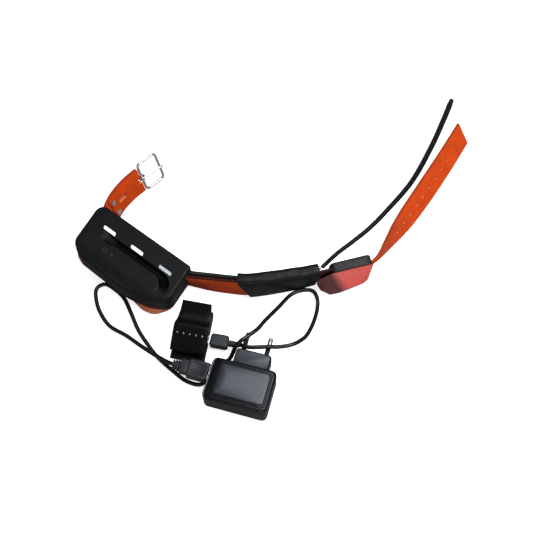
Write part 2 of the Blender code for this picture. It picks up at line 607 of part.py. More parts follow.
def build_lead(looks):
    """The USB-A plug is given in the adapter's frame and the micro-USB plug in the clip's frame."""
    adapter = empty("usb_a_frame", (*ADAPTER_PLACE, 0), ADAPTER_HEADING)
    mouth = -ADAPTER_SIZE[0] / 2 - PLUG_GAP
    body = slab(rectangle(17.5, 15.2, 2, (mouth - 8.75, SOCKET_Y)), SOCKET_Z - 4, SOCKET_Z + 4, 1, 1)
    housing = add("usb_a_housing", body, looks["grey"], adapter)
    join(housing, block((7, 11.4, 6.8), (mouth - 20.5, SOCKET_Y, SOCKET_Z), 1.5))
    for i in range(3):
        join(housing, block((1.2, 9 - i, 6 - 0.5 * i), (mouth - 25.4 - 2 * i, SOCKET_Y, SOCKET_Z), 1))
    join(housing, rod(2.4, 10, (mouth - 24.8, SOCKET_Y, SOCKET_Z), (0, 90, 0), 12))
    cut(housing, block((5, 12.7, 5.2), (mouth, SOCKET_Y, SOCKET_Z)))
    cut(housing, rod(LEAD_RADIUS + 0.3, 14, (mouth - 30, SOCKET_Y, SOCKET_Z), (0, 90, 0), 12))
    shell = add("usb_a_shell", block((13.6, 12, 4.5), (mouth + 4.9, SOCKET_Y, SOCKET_Z)), looks["steel"], adapter)
    cut(shell, block((11, 11.4, 3.9), (mouth + 8, SOCKET_Y, SOCKET_Z)))

    clip = empty("micro_usb_frame", (*CLIP_PLACE, 0), CLIP_HEADING)
    mouth = CLIP_WIDTH / 2 + PLUG_GAP
    body = slab(rectangle(15, 11, 2.4, (mouth + 7.5, MICRO_Y)), MICRO_Z - 3.6, MICRO_Z + 3.6, 1, 1)
    housing = add("micro_usb_housing", body, looks["grey"], clip)
    join(housing, rod(2.5, 8, (mouth + 18, MICRO_Y, MICRO_Z), (0, 90, 0), 12))
    cut(housing, block((5, 7.6, 2.6), (mouth, MICRO_Y, MICRO_Z)))
    cut(housing, rod(LEAD_RADIUS + 0.3, 8, (mouth + 22, MICRO_Y, MICRO_Z), (0, 90, 0), 12))
    shell = add("micro_usb_shell", block((7.4, 6.9, 1.9), (mouth - 1.5, MICRO_Y, MICRO_Z)), looks["steel"], clip)
    cut(shell, block((4, 6.3, 1.3), (mouth - 5, MICRO_Y, MICRO_Z)))

    add("charge_cable", tube(spline(LEAD_PATH, 4.5), LEAD_RADIUS, 8), looks["black"])


def side_profile(points, width):
    """A body with the given y-z outline, centred on x = 0, narrower towards its far end."""
    bm = loft([[(x, y, z) for y, z in points] for x in (-width / 2, width / 2)])
    for vert in bm.verts:
        vert.co.x *= 1 - 0.15 * max(0.0, vert.co.y) / (CLIP_LENGTH / 2)
    return bm


def build_clip(looks):
    frame = empty("clip_frame", (*CLIP_PLACE, 0), CLIP_HEADING)
    pin_y, pin_z = CLIP_PIN
    body = add("clip_body", side_profile(CLIP_PROFILE, CLIP_WIDTH), looks["black"], frame)
    join(body, slab(rectangle(9, 6, 0.8, (0, pin_y)), 9, pin_z + 2.2))
    cut(body, rod(1.5, 30, (0, pin_y, pin_z), (0, 90, 0)))
    cut(body, block((16, 8.8, 4.0), (CLIP_WIDTH / 2, MICRO_Y, MICRO_Z)))
    jaw_pivot = empty("jaw_pivot", (0, pin_y, pin_z), parent=frame)
    jaw = add("clip_jaw", side_profile(JAW_PROFILE, CLIP_WIDTH), looks["black"], jaw_pivot)
    cut(jaw, block((17, 8.3, 9), (0, 0.35, -1.0)))
    cut(jaw, rod(1.5, 26, (0, 0, 0), (0, 90, 0)))
    contact_y, contact_z = CONTACT_PLACE
    contacts = [CONTACT_PITCH * (i - 2) for i in range(5)]
    cut(jaw, block((25, 2.4, 6), (0, contact_y, contact_z - 2), 0.8))
    for x in contacts:
        cut(jaw, rod(0.8, 6, (x, contact_y, contact_z + 2), sides=10))
    add("clip_hinge_pin", rod(1.2, 25, (0, pin_y, pin_z), (0, 90, 0)), looks["steel"], frame)
    turns, coils = 8, 3
    coil = [(5.4 + 0.85 * i / turns, pin_y + 2.1 * math.cos(2 * math.pi * i / turns),
             pin_z + 2.1 * math.sin(2 * math.pi * i / turns)) for i in range(turns * coils + 1)]
    add("clip_spring", tube(coil, 0.32, 6), looks["steel"], frame)
    socket = add("clip_socket", block((7, 8.2, 3.4), (CLIP_WIDTH / 2 - 4, MICRO_Y, MICRO_Z)), looks["steel"], frame)
    cut(socket, block((6, 7.5, 2.5), (CLIP_WIDTH / 2 - 3, MICRO_Y, MICRO_Z)))
    strip = add("clip_contacts", block((24.2, 1.8, 1.5), (0, contact_y, contact_z - 0.1)), looks["brass"], jaw_pivot)
    for x in contacts:
        join(strip, rod(0.5, 2.4, (x, contact_y, contact_z + 1.0), sides=10))


def make_looks():
    return dict(
        black=material("moulded_black", (0.018, 0.018, 0.02), 0.45),
        rubber=material("rubber_black", (0.015, 0.015, 0.016), 0.7),
        shell_brown=material("shell_orange_brown", (0.42, 0.10, 0.05), 0.5),
        strap=material("strap_orange", (0.72, 0.12, 0.01), 0.5),
        sleeve=material("sleeve_black", (0.03, 0.03, 0.035), 0.4),
        steel=material("steel", (0.6, 0.6, 0.6), 0.3, 1.0),
        board=material("board_green", (0.02, 0.12, 0.05), 0.5),
        battery=material("battery_wrap", (0.35, 0.36, 0.4), 0.4, 0.3),
        window=material("window_white", (0.95, 0.95, 0.95), 0.3),
        red=material("beacon_red", (0.45, 0.02, 0.02), 0.25, 0.0, 0.3),
        ceramic=material("ceramic", (0.75, 0.68, 0.55), 0.6),
        brass=material("contact_gold", (0.8, 0.6, 0.25), 0.3, 1.0),
        grey=material("adapter_grey", (0.06, 0.065, 0.075), 0.5),
    )


def main():
    clear_scene()
    looks = make_looks()
    build_module(looks)
    build_straps(looks)
    build_buckle(looks)
    build_sleeve_and_antenna(looks)
    build_puck(looks)
    build_adapter(looks)
    build_lead(looks)
    build_clip(looks)


main()
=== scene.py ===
"""Looks for the GPS dog collar and its charging set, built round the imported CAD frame.

Lengths are in millimetres until a mesh is made. The origin is the middle of the module's underside.
"""

import json
import math

import bmesh
import bpy
from mathutils import Euler, Matrix, Vector, noise

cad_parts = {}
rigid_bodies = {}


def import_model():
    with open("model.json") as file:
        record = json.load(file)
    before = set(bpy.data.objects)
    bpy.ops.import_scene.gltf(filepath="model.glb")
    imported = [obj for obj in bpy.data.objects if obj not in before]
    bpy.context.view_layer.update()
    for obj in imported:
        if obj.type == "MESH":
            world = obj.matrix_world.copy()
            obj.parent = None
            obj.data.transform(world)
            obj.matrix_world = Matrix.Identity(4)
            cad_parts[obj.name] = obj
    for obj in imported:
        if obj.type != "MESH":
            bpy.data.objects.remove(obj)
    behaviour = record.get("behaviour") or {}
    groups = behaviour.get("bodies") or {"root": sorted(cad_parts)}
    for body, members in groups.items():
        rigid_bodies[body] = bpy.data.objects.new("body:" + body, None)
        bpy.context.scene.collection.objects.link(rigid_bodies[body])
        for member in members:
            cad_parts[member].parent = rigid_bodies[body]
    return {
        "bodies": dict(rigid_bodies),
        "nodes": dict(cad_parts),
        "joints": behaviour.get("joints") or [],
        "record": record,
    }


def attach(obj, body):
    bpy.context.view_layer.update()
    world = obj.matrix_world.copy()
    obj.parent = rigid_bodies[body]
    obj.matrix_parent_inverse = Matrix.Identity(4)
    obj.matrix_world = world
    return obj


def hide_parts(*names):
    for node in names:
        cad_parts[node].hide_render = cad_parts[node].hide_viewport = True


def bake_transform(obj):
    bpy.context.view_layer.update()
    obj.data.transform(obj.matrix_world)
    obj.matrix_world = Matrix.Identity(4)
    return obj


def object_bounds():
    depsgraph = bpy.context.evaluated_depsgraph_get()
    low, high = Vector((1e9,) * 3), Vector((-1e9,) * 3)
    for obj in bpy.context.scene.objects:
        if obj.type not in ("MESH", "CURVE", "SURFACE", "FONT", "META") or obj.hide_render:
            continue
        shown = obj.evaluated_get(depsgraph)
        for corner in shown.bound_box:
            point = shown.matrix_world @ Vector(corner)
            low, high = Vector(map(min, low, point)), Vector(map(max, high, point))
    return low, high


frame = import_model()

MM = 0.001
GAP = 0.3
UP = Vector((0, 0, 1))
cad_low, cad_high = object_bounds()
nodes = frame["nodes"]

STRAP_WIDTH = 25.4
STRAP_THICKNESS = 2.5
STRAP_HOLE = 2.6
TAIL_HOLES = 9
TAIL_HOLE_PITCH = 11.6
TAIL_HOLE_START = 38.0
MIDDLE_HOLE_RUNS = (32, 51)
BUCKLE_BAR = 2.6
PRONG_SLOT_RUN = 35
RIVET_RUN = 24
RIVET_OFFSETS = (-6.5, 6.5)
FOLD_START = 20.5
FOLD_THICKNESS = 1.5

MODULE_HEADING = -37.6
MODULE_TOP = 28.0
BASE_TOP = 7.6
COVER_BOTTOM = 8.6
CAVITY_ROOF = 21.6
WINDOW_XS = (-27.6, 3.6, 34.7)
WINDOW_Y = 7.0
WINDOW_SIZE = (14.0, 4.0, 3.4)
BUTTON_PLACE = (-18.0, -9.0)
LED_PLACE = (-10.0, -9.0)
SCREW_PLACES = ((-44.0, -6.0), (-12.0, 17.0), (20.0, 17.0), (44.0, -12.0))

CABLE_RADIUS = 2.2
CABLE_END_RADIUS = 1.1
CABLE_LIFT = 9.4
CABLE_STANDOFF = 0.45
SLEEVE_WALL = 1.1
# The antenna looks a little thicker than the CAD one
WHIP_RADIUS = 2.8
WHIP_ROOT_RADIUS = 1.8
WHIP_EDGE = 9.0
WHIP_BACK = 4.4
PUCK_PLACE = (185.5, -7.1, 15.1)
PUCK_HEADING = 15.0
PUCK_LEAN = 12.0

ADAPTER_PLACE = (95.0, -112.0)
ADAPTER_HEADING = -15.5
ADAPTER_SIZE = (52.0, 35.0, 26.0)
ADAPTER_SEAM = 20.0
SOCKET_Y = 5.5
SOCKET_Z = 12.0
PIN_PITCH = 19.0
PIN_CENTRE_X = 3.0
PIN_REACH = 16.8

LEAD_RADIUS = 1.7
PLUG_GAP = 1.3
CLIP_PLACE = (55.8, -61.4)
CLIP_HEADING = -11.0
CLIP_LENGTH = 40.0
CLIP_WIDTH = 28.6
CLIP_PIN = (-2.0, 14.6)
MICRO_Y = -5.0
MICRO_Z = 8.0
CONTACT_PLACE = (-5.6, 3.0)
CONTACT_PITCH = 5.2

# Strap centre lines: x, y, lean of the top edge to the left in degrees, lift off the ground
BUCKLE_STRAP = (
    (-23.6, 31.6, 14, 0), (-22.9, 43, 14, 0), (-20.5, 54, 14, 0.5), (-15.5, 64.5, 15, 1),
    (-7.5, 74.8, 17, 2.2), (1.5, 83.5, 18, 3.4),
)
MIDDLE_STRAP = (
    (38.7, -14.4, -11, 0), (52, -17.8, -10, 0), (68.5, -20.8, -4, 0), (85, -23.5, -2, 0.8),
    (99, -25, -1, 1.6), (113, -23.8, -1, 1.6), (131, -20.8, -3, 1.6), (144, -18.3, -5, 1.6),
    (158, -14.9, -9, 1.9), (172, -10.8, -12, 2.2), (186, -7, -12, 2.2), (196, -4.4, -15, 2.2),
    (203, -2.3, -19, 2), (208, 1.8, -14, 1.7), (212, 6.6, -6, 1.3), (215.2, 11.1, 0, 1.1),
)
TAIL_STRAP = (
    (215.6, 11.65, 0, 1.1), (218.5, 15.8, 4, 1), (227, 28.2, 15, 0.5), (236.6, 41.4, 25, 0),
    (246, 54.6, 30, 0), (262, 78.2, 34, 0), (283, 110.5, 35, 0), (300.5, 139, 35, 0),
)
WHIP_PATH = (
    (175.3, 3.7, 21.6), (189.3, 16.4, 19.4), (205, 31.2, 17.4), (221.2, 49.6, 15.6), (247.4, 83.6, 12),
    (270.3, 125.2, 9), (286.5, 160, 6.5), (295, 179.8, 5),
)
LENS_BACK = [(-28.5, -4, -8), (-28.5, -4, 3), (-17, -4, 12.5), (18.5, -4, 12.8), (19.5, -4, -3),
             (13, -4, -13.2), (-22, -4, -13.2)]
LENS_FRONT = [(-20, -16.4, -8.8), (-11.4, -16.7, -8.8), (-3, -15.9, -0.4), (9, -15.2, -0.6),
              (-3, -15, -5.6), (9, -14.6, -4.6), (14.5, -12, -5), (12, -9, -12.2), (-3, -12.4, -11.2),
              (-18, -13, -11.4), (-27, -10.8, -8.6), (-29.5, -6, -5)]
CLIP_PROFILE = ((-24, 0.2), (20, 0.2), (20.4, 6), (19, 9.5), (8, 10.4), (4, 11), (-10.5, 11), (-12, 3.4),
                (-24, 2.8))
JAW_PROFILE = ((-18, -5.2), (-9, 0), (-3.2, -1.4), (-1.6, -2.6), (1.6, -2.6), (5, -2.4), (9, -3), (14, -2.4),
               (21.4, 5.2), (22, 9.2), (17, 5.8), (11, 3.6), (6, 3.8), (2.6, 6.6), (0.5, 6.9), (-6, 4.4),
               (-13, 0.4), (-18, -3))
LEAD_PATH = (
    (46.4, -92.8, 12), (41.6, -91.5, 12), (35.5, -88, 9), (26.5, -82.3, 7), (16.3, -75.5, 6),
    (0.3, -63.3, 3), (-14.3, -54.3, 2), (-23.9, -41.5, 2), (-28.7, -28.5, 2), (-29, -19.5, 2),
    (-22.4, -15.4, 2), (-14.3, -19.8, 2), (-5, -28.6, 2), (2.2, -42.4, 2), (10.2, -58.8, 2),
    (20.8, -73.9, 2), (28.9, -83.4, 2), (39.6, -92.9, 2), (50.1, -101.3, 2), (60.3, -105.1, 2),
    (65.6, -103.5, 2), (67.2, -97, 2), (70.6, -90.6, 2), (76.6, -87, 2.2), (83.1, -86.2, 3.6),
    (87.2, -83.8, 8), (91, -78.6, 16), (95.3, -74.8, 19.6), (101.9, -69.8, 19.6), (109, -63, 17),
    (114.6, -54.2, 13), (125.9, -39.3, 7), (134.4, -27.8, 3), (141, -22.8, 2), (148.5, -20.9, 2),
    (155.5, -22, 2), (159, -29.4, 2), (158.3, -40, 2.4), (154.4, -53, 4), (149, -64.6, 8),
    (143.5, -71.6, 13), (136, -76.6, 16.2), (126, -78.6, 16.6), (115.4, -78.6, 16.6),
    (104.3, -79, 16.4), (98.8, -78.1, 15.9), (96, -76.9, 15.5), (94.2, -75.4, 12.4), (93, -74.4, 8.8),
    (91.6, -73.6, 7.8), (89.1, -73, 8),
)


# Where the strap is painted dark along world x, in metres: its top edge under the cable, a painted shadow of
# the cable, and the bare length between the sleeve and the puck. Each gives where it begins, is full, starts
# to fade and ends.
CABLE_SHADOW = (0.036, 0.037, 0.1, 0.106)
PUCK_GAP = (0.157, 0.1585, 0.17, 0.172)
# The black of both: the painted shadow under the cable and the painted dark length before the puck.
PAINTED_DARK = (0.004, 0.004, 0.004)


# ---------------------------------------------------------------- materials

class Graph:
    """One material and short names for building its nodes. Sizes are in millimetres."""

    def __init__(self, name):
        self.material = bpy.data.materials.new(name)
        self.material.use_nodes = True
        self.tree = self.material.node_tree
        self.shader = self.tree.nodes["Principled BSDF"]
        place = self.add("ShaderNodeTexCoord")
        self.place, self.uv = place.outputs["Object"], place.outputs["UV"]

    def add(self, kind, inputs=None, **settings):
        made = self.tree.nodes.new(kind)
        for key, value in settings.items():
            setattr(made, key, value)
        self.put(made, inputs or {})
        return made

    def put(self, target, inputs):
        for key, value in inputs.items():
            if isinstance(value, bpy.types.NodeSocket):
                self.tree.links.new(value, target.inputs[key])
            else:
                target.inputs[key].default_value = value

    def set(self, inputs):
        self.put(self.shader, inputs)

    def noise(self, size, detail=2.0, stretch=(1, 1, 1)):
        scaled = self.add("ShaderNodeMapping", {"Vector": self.place, "Scale": [1 / s for s in stretch]})
        return self.add("ShaderNodeTexNoise", {"Vector": scaled.outputs[0], "Scale": 1 / (size * MM),
                                               "Detail": detail}).outputs[0]

    def remap(self, value, start, end, low, high):
        return self.add("ShaderNodeMapRange", {"Value": value, "From Min": start, "From Max": end,
                                               "To Min": low, "To Max": high}).outputs[0]

    def maths(self, operation, first, second):
        return self.add("ShaderNodeMath", {0: first, 1: second}, operation=operation).outputs[0]

    def mix(self, factor, first, second):
        first, second = [c if isinstance(c, bpy.types.NodeSocket) else (*c, 1) for c in (first, second)]
        return self.add("ShaderNodeMix", {"Factor": factor, 6: first, 7: second}, data_type="RGBA").outputs[2]

    def wave(self, where, period, direction):
        """Bands of the given period along an axis of coordinates that are already in millimetres."""
        return self.add("ShaderNodeTexWave", {"Vector": where, "Scale": 0.314 / period},
                        bands_direction=direction).outputs[1]

    def bump(self, height, strength, depth=0.2, normal=None):
        inputs = {"Height": height, "Strength": strength, "Distance": depth * MM}
        if normal is not None:
            inputs["Normal"] = normal
        return self.add("ShaderNodeBump", inputs).outputs[0]

    def band(self, value, places, strength):
        """A strength between two places, with a ramp at each side."""
        begin, full, fade, end = places
        return self.maths("MULTIPLY", self.remap(value, begin, full, 0, strength),
                          self.remap(value, fade, end, 1, 0))

    def edges(self):
        """Near 1 on sharp outward edges, where handling polishes a moulding."""
        return self.remap(self.add("ShaderNodeNewGeometry").outputs["Pointiness"], 0.51, 0.6, 0, 1)


def tint(colour, factor):
    return [min(1.0, c * factor) for c in colour]


def moulded(name, colour, rough, grain=0.35, depth=0.25, mottle=0.18, wear=0.3, specular=0.3, coat=0.0,
            subsurface=0.0, specks=0.35, patchy=0.07, painted_top_light=None, recessed=False):
    """Injection-moulded plastic: fine spark-eroded grain, faint flow mottling and slightly rubbed edges.

    A lighter colour given for the top is painted on the faces that look up: a painted highlight of the lamp's
    sheen.
    """
    g = Graph(name)
    broad, fine = g.noise(9, 3), g.noise(grain, 2)
    base = g.mix(g.remap(broad, 0.35, 0.65, 0, 1), tint(colour, 1 - mottle), tint(colour, 1 + mottle))
    base = g.mix(g.remap(g.noise(0.9, 1), 0.68, 0.74, 0, specks), base, tint(colour, 1.5))
    worn = g.maths("MULTIPLY", g.edges(), wear)
    base = g.mix(worn, base, [min(1.0, c * 2.2 + 0.012) for c in colour])
    uneven = g.remap(g.noise(3, 2), 0.3, 0.7, rough - patchy, rough + patchy)
    # Painted highlight: the faces that look up get a lighter colour, and the other faces less specular.
    if painted_top_light:
        normal = g.add("ShaderNodeNewGeometry").outputs["Normal"]
        top = g.remap(g.add("ShaderNodeSeparateXYZ", {0: normal}).outputs[2], 0.96, 0.99, 0, 1)
        base = g.mix(top, base, g.mix(g.remap(broad, 0.35, 0.65, 0, 1), tint(painted_top_light, 0.94), tint(painted_top_light, 1.06)))
        specular = g.remap(top, 0, 1, 0.16, specular)
    # Painted shade: the deep channel is darkened and made less specular.
    if recessed:
        deep = g.add("ShaderNodeAttribute", attribute_name="recess").outputs[2]
        base = g.mix(deep, base, tint(colour, 0.2))
        specular = g.remap(deep, 0, 1, specular, 0.05)
    g.set({"Base Color": base, "Roughness": uneven, "Normal": g.bump(fine, depth, 0.12),
           "Specular IOR Level": specular, "Coat Weight": coat, "Coat Roughness": 0.25,
           "Subsurface Weight": subsurface, "Subsurface Radius": (0.004, 0.002, 0.001),
           "Subsurface Scale": 1.0})
    return g.material


def metal(name, colour, rough, stretch=(1, 1, 12)):
    """Plated metal with drawn streaks and a few duller patches."""
    g = Graph(name)
    streaks, patches = g.noise(0.25, 3, stretch), g.noise(2.5, 3)
    base = g.mix(g.remap(streaks, 0.3, 0.7, 0, 1), tint(colour, 0.86), tint(colour, 1.08))
    base = g.mix(g.remap(patches, 0.55, 0.75, 0, 0.35), base, tint(colour, 0.6))
    g.set({"Base Color": base, "Metallic": 1.0, "Normal": g.bump(streaks, 0.15, 0.05),
           "Roughness": g.remap(patches, 0.3, 0.7, rough - 0.06, rough + 0.12)})
    return g.material


def coated_webbing(name, colour):
    """Plastic-coated webbing: the weave shows through an orange skin, with painted shade along its borders.

    Two places are painted dark: the top edge under the cable, a painted shadow of the cable, and the length
    between sleeve and puck.
    """
    g = Graph(name)
    warp, weft = g.wave(g.uv, 1.5, "X"), g.wave(g.uv, 1.1, "Y")
    weave = g.maths("MULTIPLY", warp, weft)
    base = g.mix(g.remap(g.noise(14, 3), 0.35, 0.65, 0, 1), tint(colour, 0.9), tint(colour, 1.1))
    base = g.mix(g.remap(weave, 0, 1, 0.14, 0), base, tint(colour, 0.55))
    base = g.mix(g.remap(g.noise(1.6, 2), 0.62, 0.75, 0, 0.3), base, tint(colour, 0.6))
    across = g.add("ShaderNodeSeparateXYZ", {0: g.uv}).outputs[1]
    # Painted shade along both borders of the strap.
    border_shade = g.remap(g.maths("ABSOLUTE", across, 0.0), 11.4, 12.4, 0, 0.8)
    base = g.mix(border_shade, base, tint(colour, 0.45))
    world_x = g.add("ShaderNodeSeparateXYZ", {0: g.place}).outputs[0]
    top_edge = g.remap(across, 11.3, 11.9, 0, 1)
    # Painted shadow of the cable on the strap's top edge.
    base = g.mix(g.maths("MULTIPLY", g.band(world_x, CABLE_SHADOW, 0.92), top_edge), base, PAINTED_DARK)
    base = g.mix(g.band(world_x, PUCK_GAP, 0.93), base, PAINTED_DARK)
    # The walls of the punched holes are painted paler: a painted highlight on the hole rims.
    core = g.add("ShaderNodeAttribute", attribute_name="core").outputs[2]
    base = g.mix(g.maths("MULTIPLY", core, 0.35), base, (0.9, 0.45, 0.25))
    skin = g.maths("ADD", g.maths("MULTIPLY", weave, 0.7), g.maths("MULTIPLY", g.noise(0.8, 2), 0.5))
    g.set({"Base Color": base, "Roughness": g.remap(g.noise(4, 3), 0.3, 0.7, 0.46, 0.6),
           "Normal": g.bump(skin, 0.3, 0.12), "Specular IOR Level": 0.09})
    return g.material


def heat_shrink(name, colour):
    """Shrunk sleeve: satin skin with soft lengthwise wrinkles."""
    g = Graph(name)
    wrinkles, grain = g.noise(2.2, 3, (5, 1, 1)), g.noise(0.5, 2)
    base = g.mix(g.remap(wrinkles, 0.3, 0.7, 0, 1), tint(colour, 0.75), tint(colour, 1.25))
    folds = g.bump(wrinkles, 0.5, 0.3)
    g.set({"Base Color": base, "Roughness": g.remap(g.noise(5, 2), 0.3, 0.7, 0.38, 0.5),
           "Normal": g.bump(grain, 0.15, 0.08, folds), "Specular IOR Level": 0.13})
    return g.material


def cable_skin(name, colour, rough):
    """Satin cable jacket with faint dust and a slightly uneven sheen."""
    g = Graph(name)
    dust = g.remap(g.noise(0.7, 2), 0.6, 0.75, 0, 0.25)
    base = g.mix(dust, tint(colour, 1.0), [c + 0.012 for c in colour])
    g.set({"Base Color": base, "Roughness": g.remap(g.noise(2, 3), 0.3, 0.7, rough - 0.06, rough + 0.08),
           "Normal": g.bump(g.noise(0.6, 2), 0.12, 0.06), "Specular IOR Level": 0.3})
    return g.material


def beacon_red(name, colour):
    """Red translucent plastic: frosted, paler at its sharp edges, with painted shade on its left facets."""
    g = Graph(name)
    deep = g.remap(g.noise(7, 3), 0.35, 0.65, 0, 1)
    base = g.mix(deep, tint(colour, 0.85), tint(colour, 1.15))
    base = g.mix(g.maths("MULTIPLY", g.edges(), 0.35), base, (0.9, 0.3, 0.25))
    frost = g.remap(g.noise(0.6, 3), 0.6, 0.72, 0, 0.25)
    base = g.mix(frost, base, (0.85, 0.32, 0.27))
    # Painted shade: the facets left of a slanted line across the lens are darkened.
    where = g.add("ShaderNodeSeparateXYZ", {0: g.place})
    shade_line = g.maths("ADD", where.outputs[0], g.maths("MULTIPLY", where.outputs[2], 0.55))
    base = g.mix(g.remap(shade_line, 0.182, 0.189, 0.92, 0), base, tint(colour, 0.08))
    g.set({"Base Color": base, "Roughness": g.remap(g.noise(3, 2), 0.3, 0.7, 0.3, 0.44),
           "Transmission Weight": 0.12, "IOR": 1.49, "Subsurface Weight": 0.35,
           "Subsurface Radius": (0.006, 0.0012, 0.001), "Subsurface Scale": 1.0,
           "Normal": g.bump(g.noise(0.5, 2), 0.12, 0.08), "Coat Weight": 0.25, "Coat Roughness": 0.2})
    return g.material


def light_window(name, colour, painted_glow):
    """Milky lens with small moulded ripples and a painted glow, shining although nothing lights it."""
    g = Graph(name)
    base = g.mix(g.remap(g.noise(2, 2), 0.35, 0.65, 0, 1), tint(colour, 0.94), colour)
    g.set({"Base Color": base, "Roughness": g.remap(g.noise(1, 2), 0.3, 0.7, 0.25, 0.4),
           "Normal": g.bump(g.noise(0.8, 1), 0.1, 0.1), "Emission Color": (*colour, 1),
           "Emission Strength": painted_glow, "Subsurface Weight": 0.2})
    return g.material


def circuit_board(name, colour):
    """Solder mask over copper: paler tracks and tinned pads."""
    g = Graph(name)
    cells = g.add("ShaderNodeTexVoronoi", {"Vector": g.place, "Scale": 1 / (2.2 * MM)}, distance="MANHATTAN",
                  feature="F1").outputs[0]
    tracks = g.remap(g.wave(g.add("ShaderNodeVectorMath", {0: g.place, 1: (1000,) * 3},
                                  operation="MULTIPLY").outputs[0], 1.3, "X"), 0.7, 0.8, 0, 0.6)
    base = g.mix(tracks, colour, tint(colour, 2.0))
    pads = g.remap(cells, 0.16, 0.2, 1, 0)
    base = g.mix(pads, base, (0.75, 0.72, 0.65))
    g.set({"Base Color": base, "Roughness": 0.35, "Metallic": g.maths("MULTIPLY", pads, 0.9),
           "Normal": g.bump(tracks, 0.3, 0.05)})
    return g.material


def foil(name, colour):
    """Shrink-wrapped cell or wound core: creased film over a firm block."""
    g = Graph(name)
    creases = g.noise(3, 4, (4, 1, 1))
    base = g.mix(g.remap(creases, 0.3, 0.7, 0, 1), tint(colour, 0.8), tint(colour, 1.15))
    g.set({"Base Color": base, "Metallic": 0.4, "Roughness": g.remap(creases, 0.3, 0.7, 0.3, 0.5),
           "Normal": g.bump(creases, 0.5, 0.3)})
    return g.material


looks = {
    # The cover's channel gets painted shade.
    "cover": moulded("module_black", (0.0042, 0.0046, 0.0056), 0.52, 0.4, 0.3, specular=0.13, recessed=True),
    "base": moulded("base_orange_brown", (0.5, 0.12, 0.065), 0.42, 0.5, 0.15, wear=0.5, coat=0.2,
                    subsurface=0.15),
    "clip": moulded("clip_black", (0.0024, 0.0025, 0.0028), 0.42, 0.45, 0.2, wear=0.15, specular=0.08),
    "puck": moulded("puck_black", (0.006, 0.006, 0.0065), 0.45, 0.4, 0.25, specular=0.15),
    # The adapter's top gets a painted highlight.
    "adapter": moulded("adapter_grey", (0.0045, 0.0048, 0.0056), 0.36, 0.4, 0.03, specular=0.38, specks=0.05,
                       patchy=0.01, painted_top_light=(0.018, 0.021, 0.030)),
    "plug": moulded("plug_grey", (0.011, 0.012, 0.0145), 0.45, 0.35, 0.3, specular=0.25),
    "rubber": moulded("rubber_black", (0.009, 0.009, 0.0095), 0.65, 0.3, 0.35, specular=0.2),
    "pin_sleeve": moulded("pin_sleeve_black", (0.010, 0.010, 0.011), 0.4, 0.3, 0.15),
    "ceramic": moulded("ceramic_tan", (0.62, 0.5, 0.36), 0.55, 0.2, 0.2, mottle=0.08, wear=0.1),
    "strap": coated_webbing("strap_orange", (0.53, 0.052, 0.004)),
    "sleeve": heat_shrink("sleeve_black", (0.003, 0.0032, 0.004)),
    "cable": cable_skin("cable_black", (0.003, 0.003, 0.0034), 0.34),
    "whip": cable_skin("whip_black", (0.003, 0.003, 0.0034), 0.34),
    "red": beacon_red("beacon_red", (0.52, 0.025, 0.02)),
    # Painted glow on the window lenses.
    "window": light_window("window_white", (0.95, 0.95, 0.95), 0.35),
    # A grey copy of the lens material for the third window: painted shade.
    "window_shaded": light_window("window_shaded", (0.5, 0.5, 0.5), 0.02),
    "led": light_window("led_smoked", (0.016, 0.017, 0.017), 0.0),
    "steel": metal("steel", (0.62, 0.62, 0.63), 0.3),
    "dark_steel": metal("dark_steel", (0.42, 0.41, 0.4), 0.36),
    "gold": metal("contact_plated", (0.3, 0.28, 0.23), 0.42, (1, 1, 1)),
    "board": circuit_board("board_green", (0.02, 0.11, 0.045)),
    "battery": foil("battery_wrap", (0.3, 0.34, 0.42)),
    "core": foil("core_yellow", (0.55, 0.42, 0.1)),
}


# ---------------------------------------------------------------- shapes

def loft(rings, closed=False, capped=True):
    """A body through rings of points, capped at both ends or joined into a loop."""
    bm = bmesh.new()
    rows = [[bm.verts.new(point) for point in ring] for ring in rings]
    pairs = list(zip(rows, rows[1:]))
    if closed:
        pairs.append((rows[-1], rows[0]))
    for first, second in pairs:
        for i in range(len(first)):
            j = (i + 1) % len(first)
            bm.faces.new((first[i], first[j], second[j], second[i]))
    if capped and not closed:
        bm.faces.new(rows[0][::-1])
        bm.faces.new(rows[-1])
    return bm


def rounded(corners, steps=8):
    """An outline from (x, y, cut) corners, each eased over its cut length."""
    points = []
    for i, (x, y, length) in enumerate(corners):
        corner = Vector((x, y))
        start = corner + (Vector(corners[i - 1][:2]) - corner).normalized() * length
        end = corner + (Vector(corners[(i + 1) % len(corners)][:2]) - corner).normalized() * length
        for step in range(steps + 1):
            t = step / steps
            points.append(start * (1 - t) ** 2 + corner * 2 * t * (1 - t) + end * t**2)
    return points


def rectangle(width, depth, corner, centre=(0, 0), steps=8):
    x, y = width / 2, depth / 2
    cx, cy = centre
    return rounded([(cx + i * x, cy + j * y, corner) for i, j in ((-1, -1), (1, -1), (1, 1), (-1, 1))], steps)


def circle(radius, centre=(0, 0), sides=32):
    turns = [2 * math.pi * i / sides for i in range(sides)]
    return [Vector((centre[0] + radius * math.cos(a), centre[1] + radius * math.sin(a))) for a in turns]


def shrunk(outline, inset):
    """The outline scaled about its middle so that each side moves in by the inset."""
    xs, ys = [p.x for p in outline], [p.y for p in outline]
    cx, cy = (max(xs) + min(xs)) / 2, (max(ys) + min(ys)) / 2
    fx, fy = 1 - 2 * inset / (max(xs) - min(xs)), 1 - 2 * inset / (max(ys) - min(ys))
    return [Vector((cx + (p.x - cx) * fx, cy + (p.y - cy) * fy)) for p in outline]


def stack(outline, levels):
    """A body through copies of the outline, each level a height and an inset."""
    return loft([[(p.x, p.y, z) for p in shrunk(outline, inset)] for z, inset in levels])


